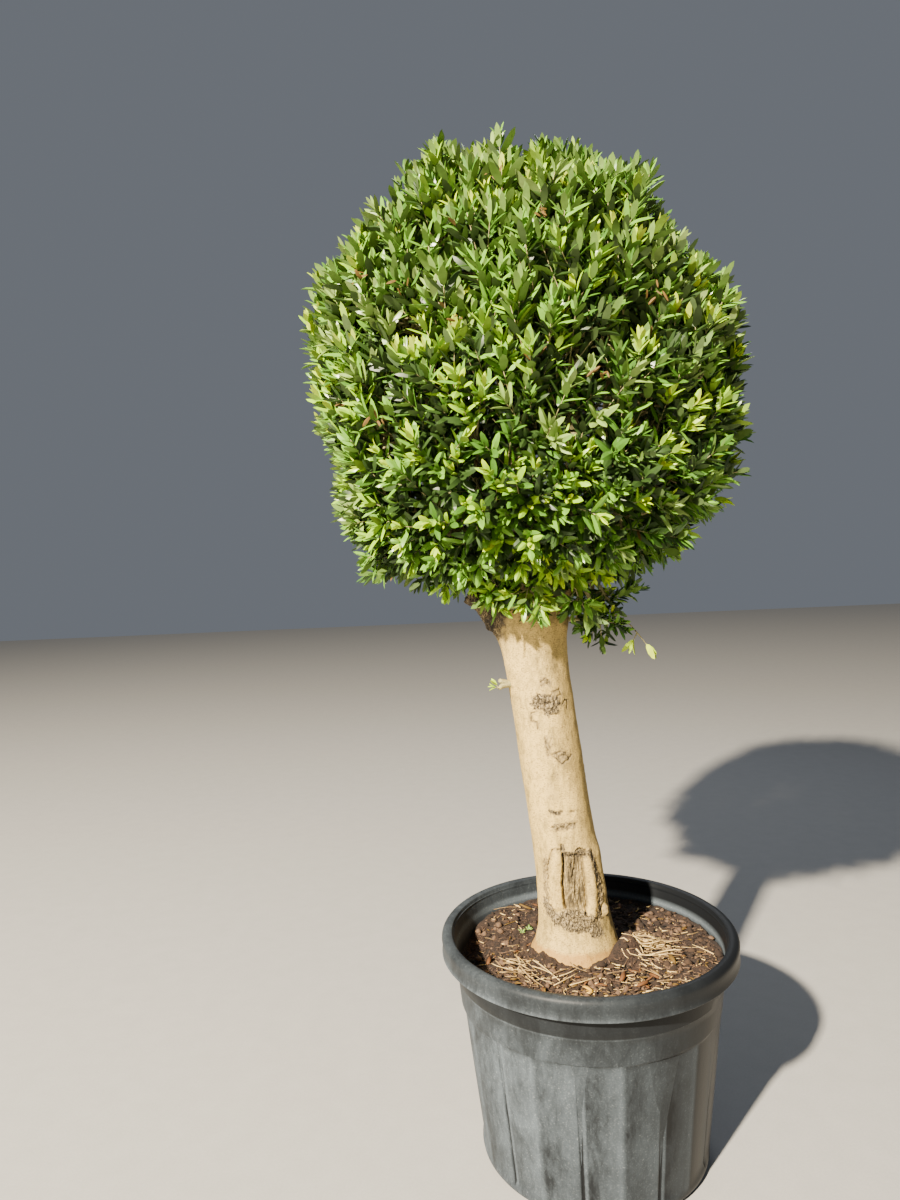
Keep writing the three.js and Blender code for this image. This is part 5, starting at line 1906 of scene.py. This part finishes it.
@dataclass
class Studio:
    """Pale floor, soft lights, and the camera where the photo was taken from."""

    camera_place: Point = (-0.2454, -1.6315, 1.1705)
    pitch_down: float = 0.0434
    roll: float = -0.0419
    focal_mm: float = 24.945
    sensor_mm: float = 36.0
    aim: Point = (-0.06, 0.0, 1.1)
    # Name, place, side of the square in metres, power in watts and colour
    lights: tuple[tuple[str, Point, float, float, str], ...] = (
        ("key", (-4.37, -6.39, 5.74), 0.3, 5400.0, "#fff0d6"),
        ("fill", (3.0, -2.4, 2.0), 2.6, 2.5, "#e8f0ff"),
        ("back", (0.6, 3.2, 3.6), 1.6, 35.0, "#eef4ff"),
    )
    sky: str = "#dfe8f6"
    sky_strength: float = 0.2
    floor_size: float = 30.0

    def camera(self) -> None:
        """Adds the camera."""
        data = bpy.data.cameras.new("camera")
        data.lens, data.sensor_width, data.sensor_fit = self.focal_mm, self.sensor_mm, "AUTO"
        camera = placed("camera", data)
        camera.location = self.camera_place
        # Rolled about its line of sight first, then pitched
        camera.rotation_mode = "ZYX"
        camera.rotation_euler = (math.pi / 2 - self.pitch_down, 0.0, self.roll)
        bpy.context.scene.camera = camera

    def light(self, name: str, place: Point, size: float, power: float, colour: str) -> None:
        """Adds a square soft light that faces the tree.

        Args:
            name: Name of the light.
            place: Where it hangs.
            size: Side of the square in metres.
            power: Its power in watts.
            colour: Its colour.
        """
        data = bpy.data.lights.new(name, "AREA")
        data.size, data.energy, data.color = size, power, linear(colour)[:3]
        lamp = placed(name, data)
        lamp.location = place
        facing = Vector(self.aim) - Vector(place)
        lamp.rotation_mode = "QUATERNION"
        lamp.rotation_quaternion = facing.to_track_quat("-Z", "Y")

    def build(self) -> None:
        """Builds floor, lights, sky and camera."""
        self.camera()
        bpy.ops.mesh.primitive_plane_add(size=self.floor_size)
        floor = bpy.context.active_object
        floor.name = "studio_floor"
        # Painted board: matt, pale and all but even
        board = Grained("studio_floor", 0.9, "#a5a4a1", "#abaaa7", 60.0, 5.0, 0.0001)
        floor.data.materials.append(board.make())
        for lamp in self.lights:
            self.light(*lamp)
        world = bpy.data.worlds.new("studio_sky")
        world.use_nodes = True
        background = world.node_tree.nodes["Background"]
        background.inputs["Color"].default_value = linear(self.sky)
        background.inputs["Strength"].default_value = self.sky_strength
        bpy.context.scene.world = world


def main() -> None:
    """Builds the tree in its pot, piece by piece, and writes how large it came out."""
    logging.basicConfig(level=logging.INFO, format="%(name)s %(message)s")
    Studio().build()
    trunk, form = Trunk(), CrownForm()
    limbs = Limbs(trunk, form)
    limbs.grow()
    leaf_finishes = [finish for tint in Tint for finish in tint.finishes()]
    # Bark of young twigs is smooth, matt and greyish olive
    twig_bark = Grained("twig_bark", 0.75, "#7c7448", "#b4ac78", 9.0, 2.0, 0.0002).make()
    pot = NurseryPot()
    pot_finish = MouldedPolypropylene().make()
    pieces = [pot.build(pot_finish), *Compost(pot).build(leaf_finishes), limbs.build()]
    crown = Crown(form, limbs).build(leaf_finishes, twig_bark)
    tufts = (SKIRT, DROOP, FRINGE, SPROUT)
    skirt, droop, fringe, sprout = (tuft.build(leaf_finishes, twig_bark) for tuft in tufts)
    for piece in [*skirt, *droop]:
        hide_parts("foliage_skirt")
    for piece in fringe:
        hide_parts("foliage_crown")
    for piece in [*crown, *skirt, *droop, *fringe, *sprout]:
        leafy = "leaves" in piece.name
        pieces.append(piece)
        if leafy:
            select_only(piece)
            bpy.ops.object.shade_smooth_by_angle(angle=LEAF_CREASE)
    for piece in pieces:
        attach(piece, "root")
        LOG.info("%s: %d faces", piece.name, len(piece.data.polygons))


if __name__ == "__main__":
    main()
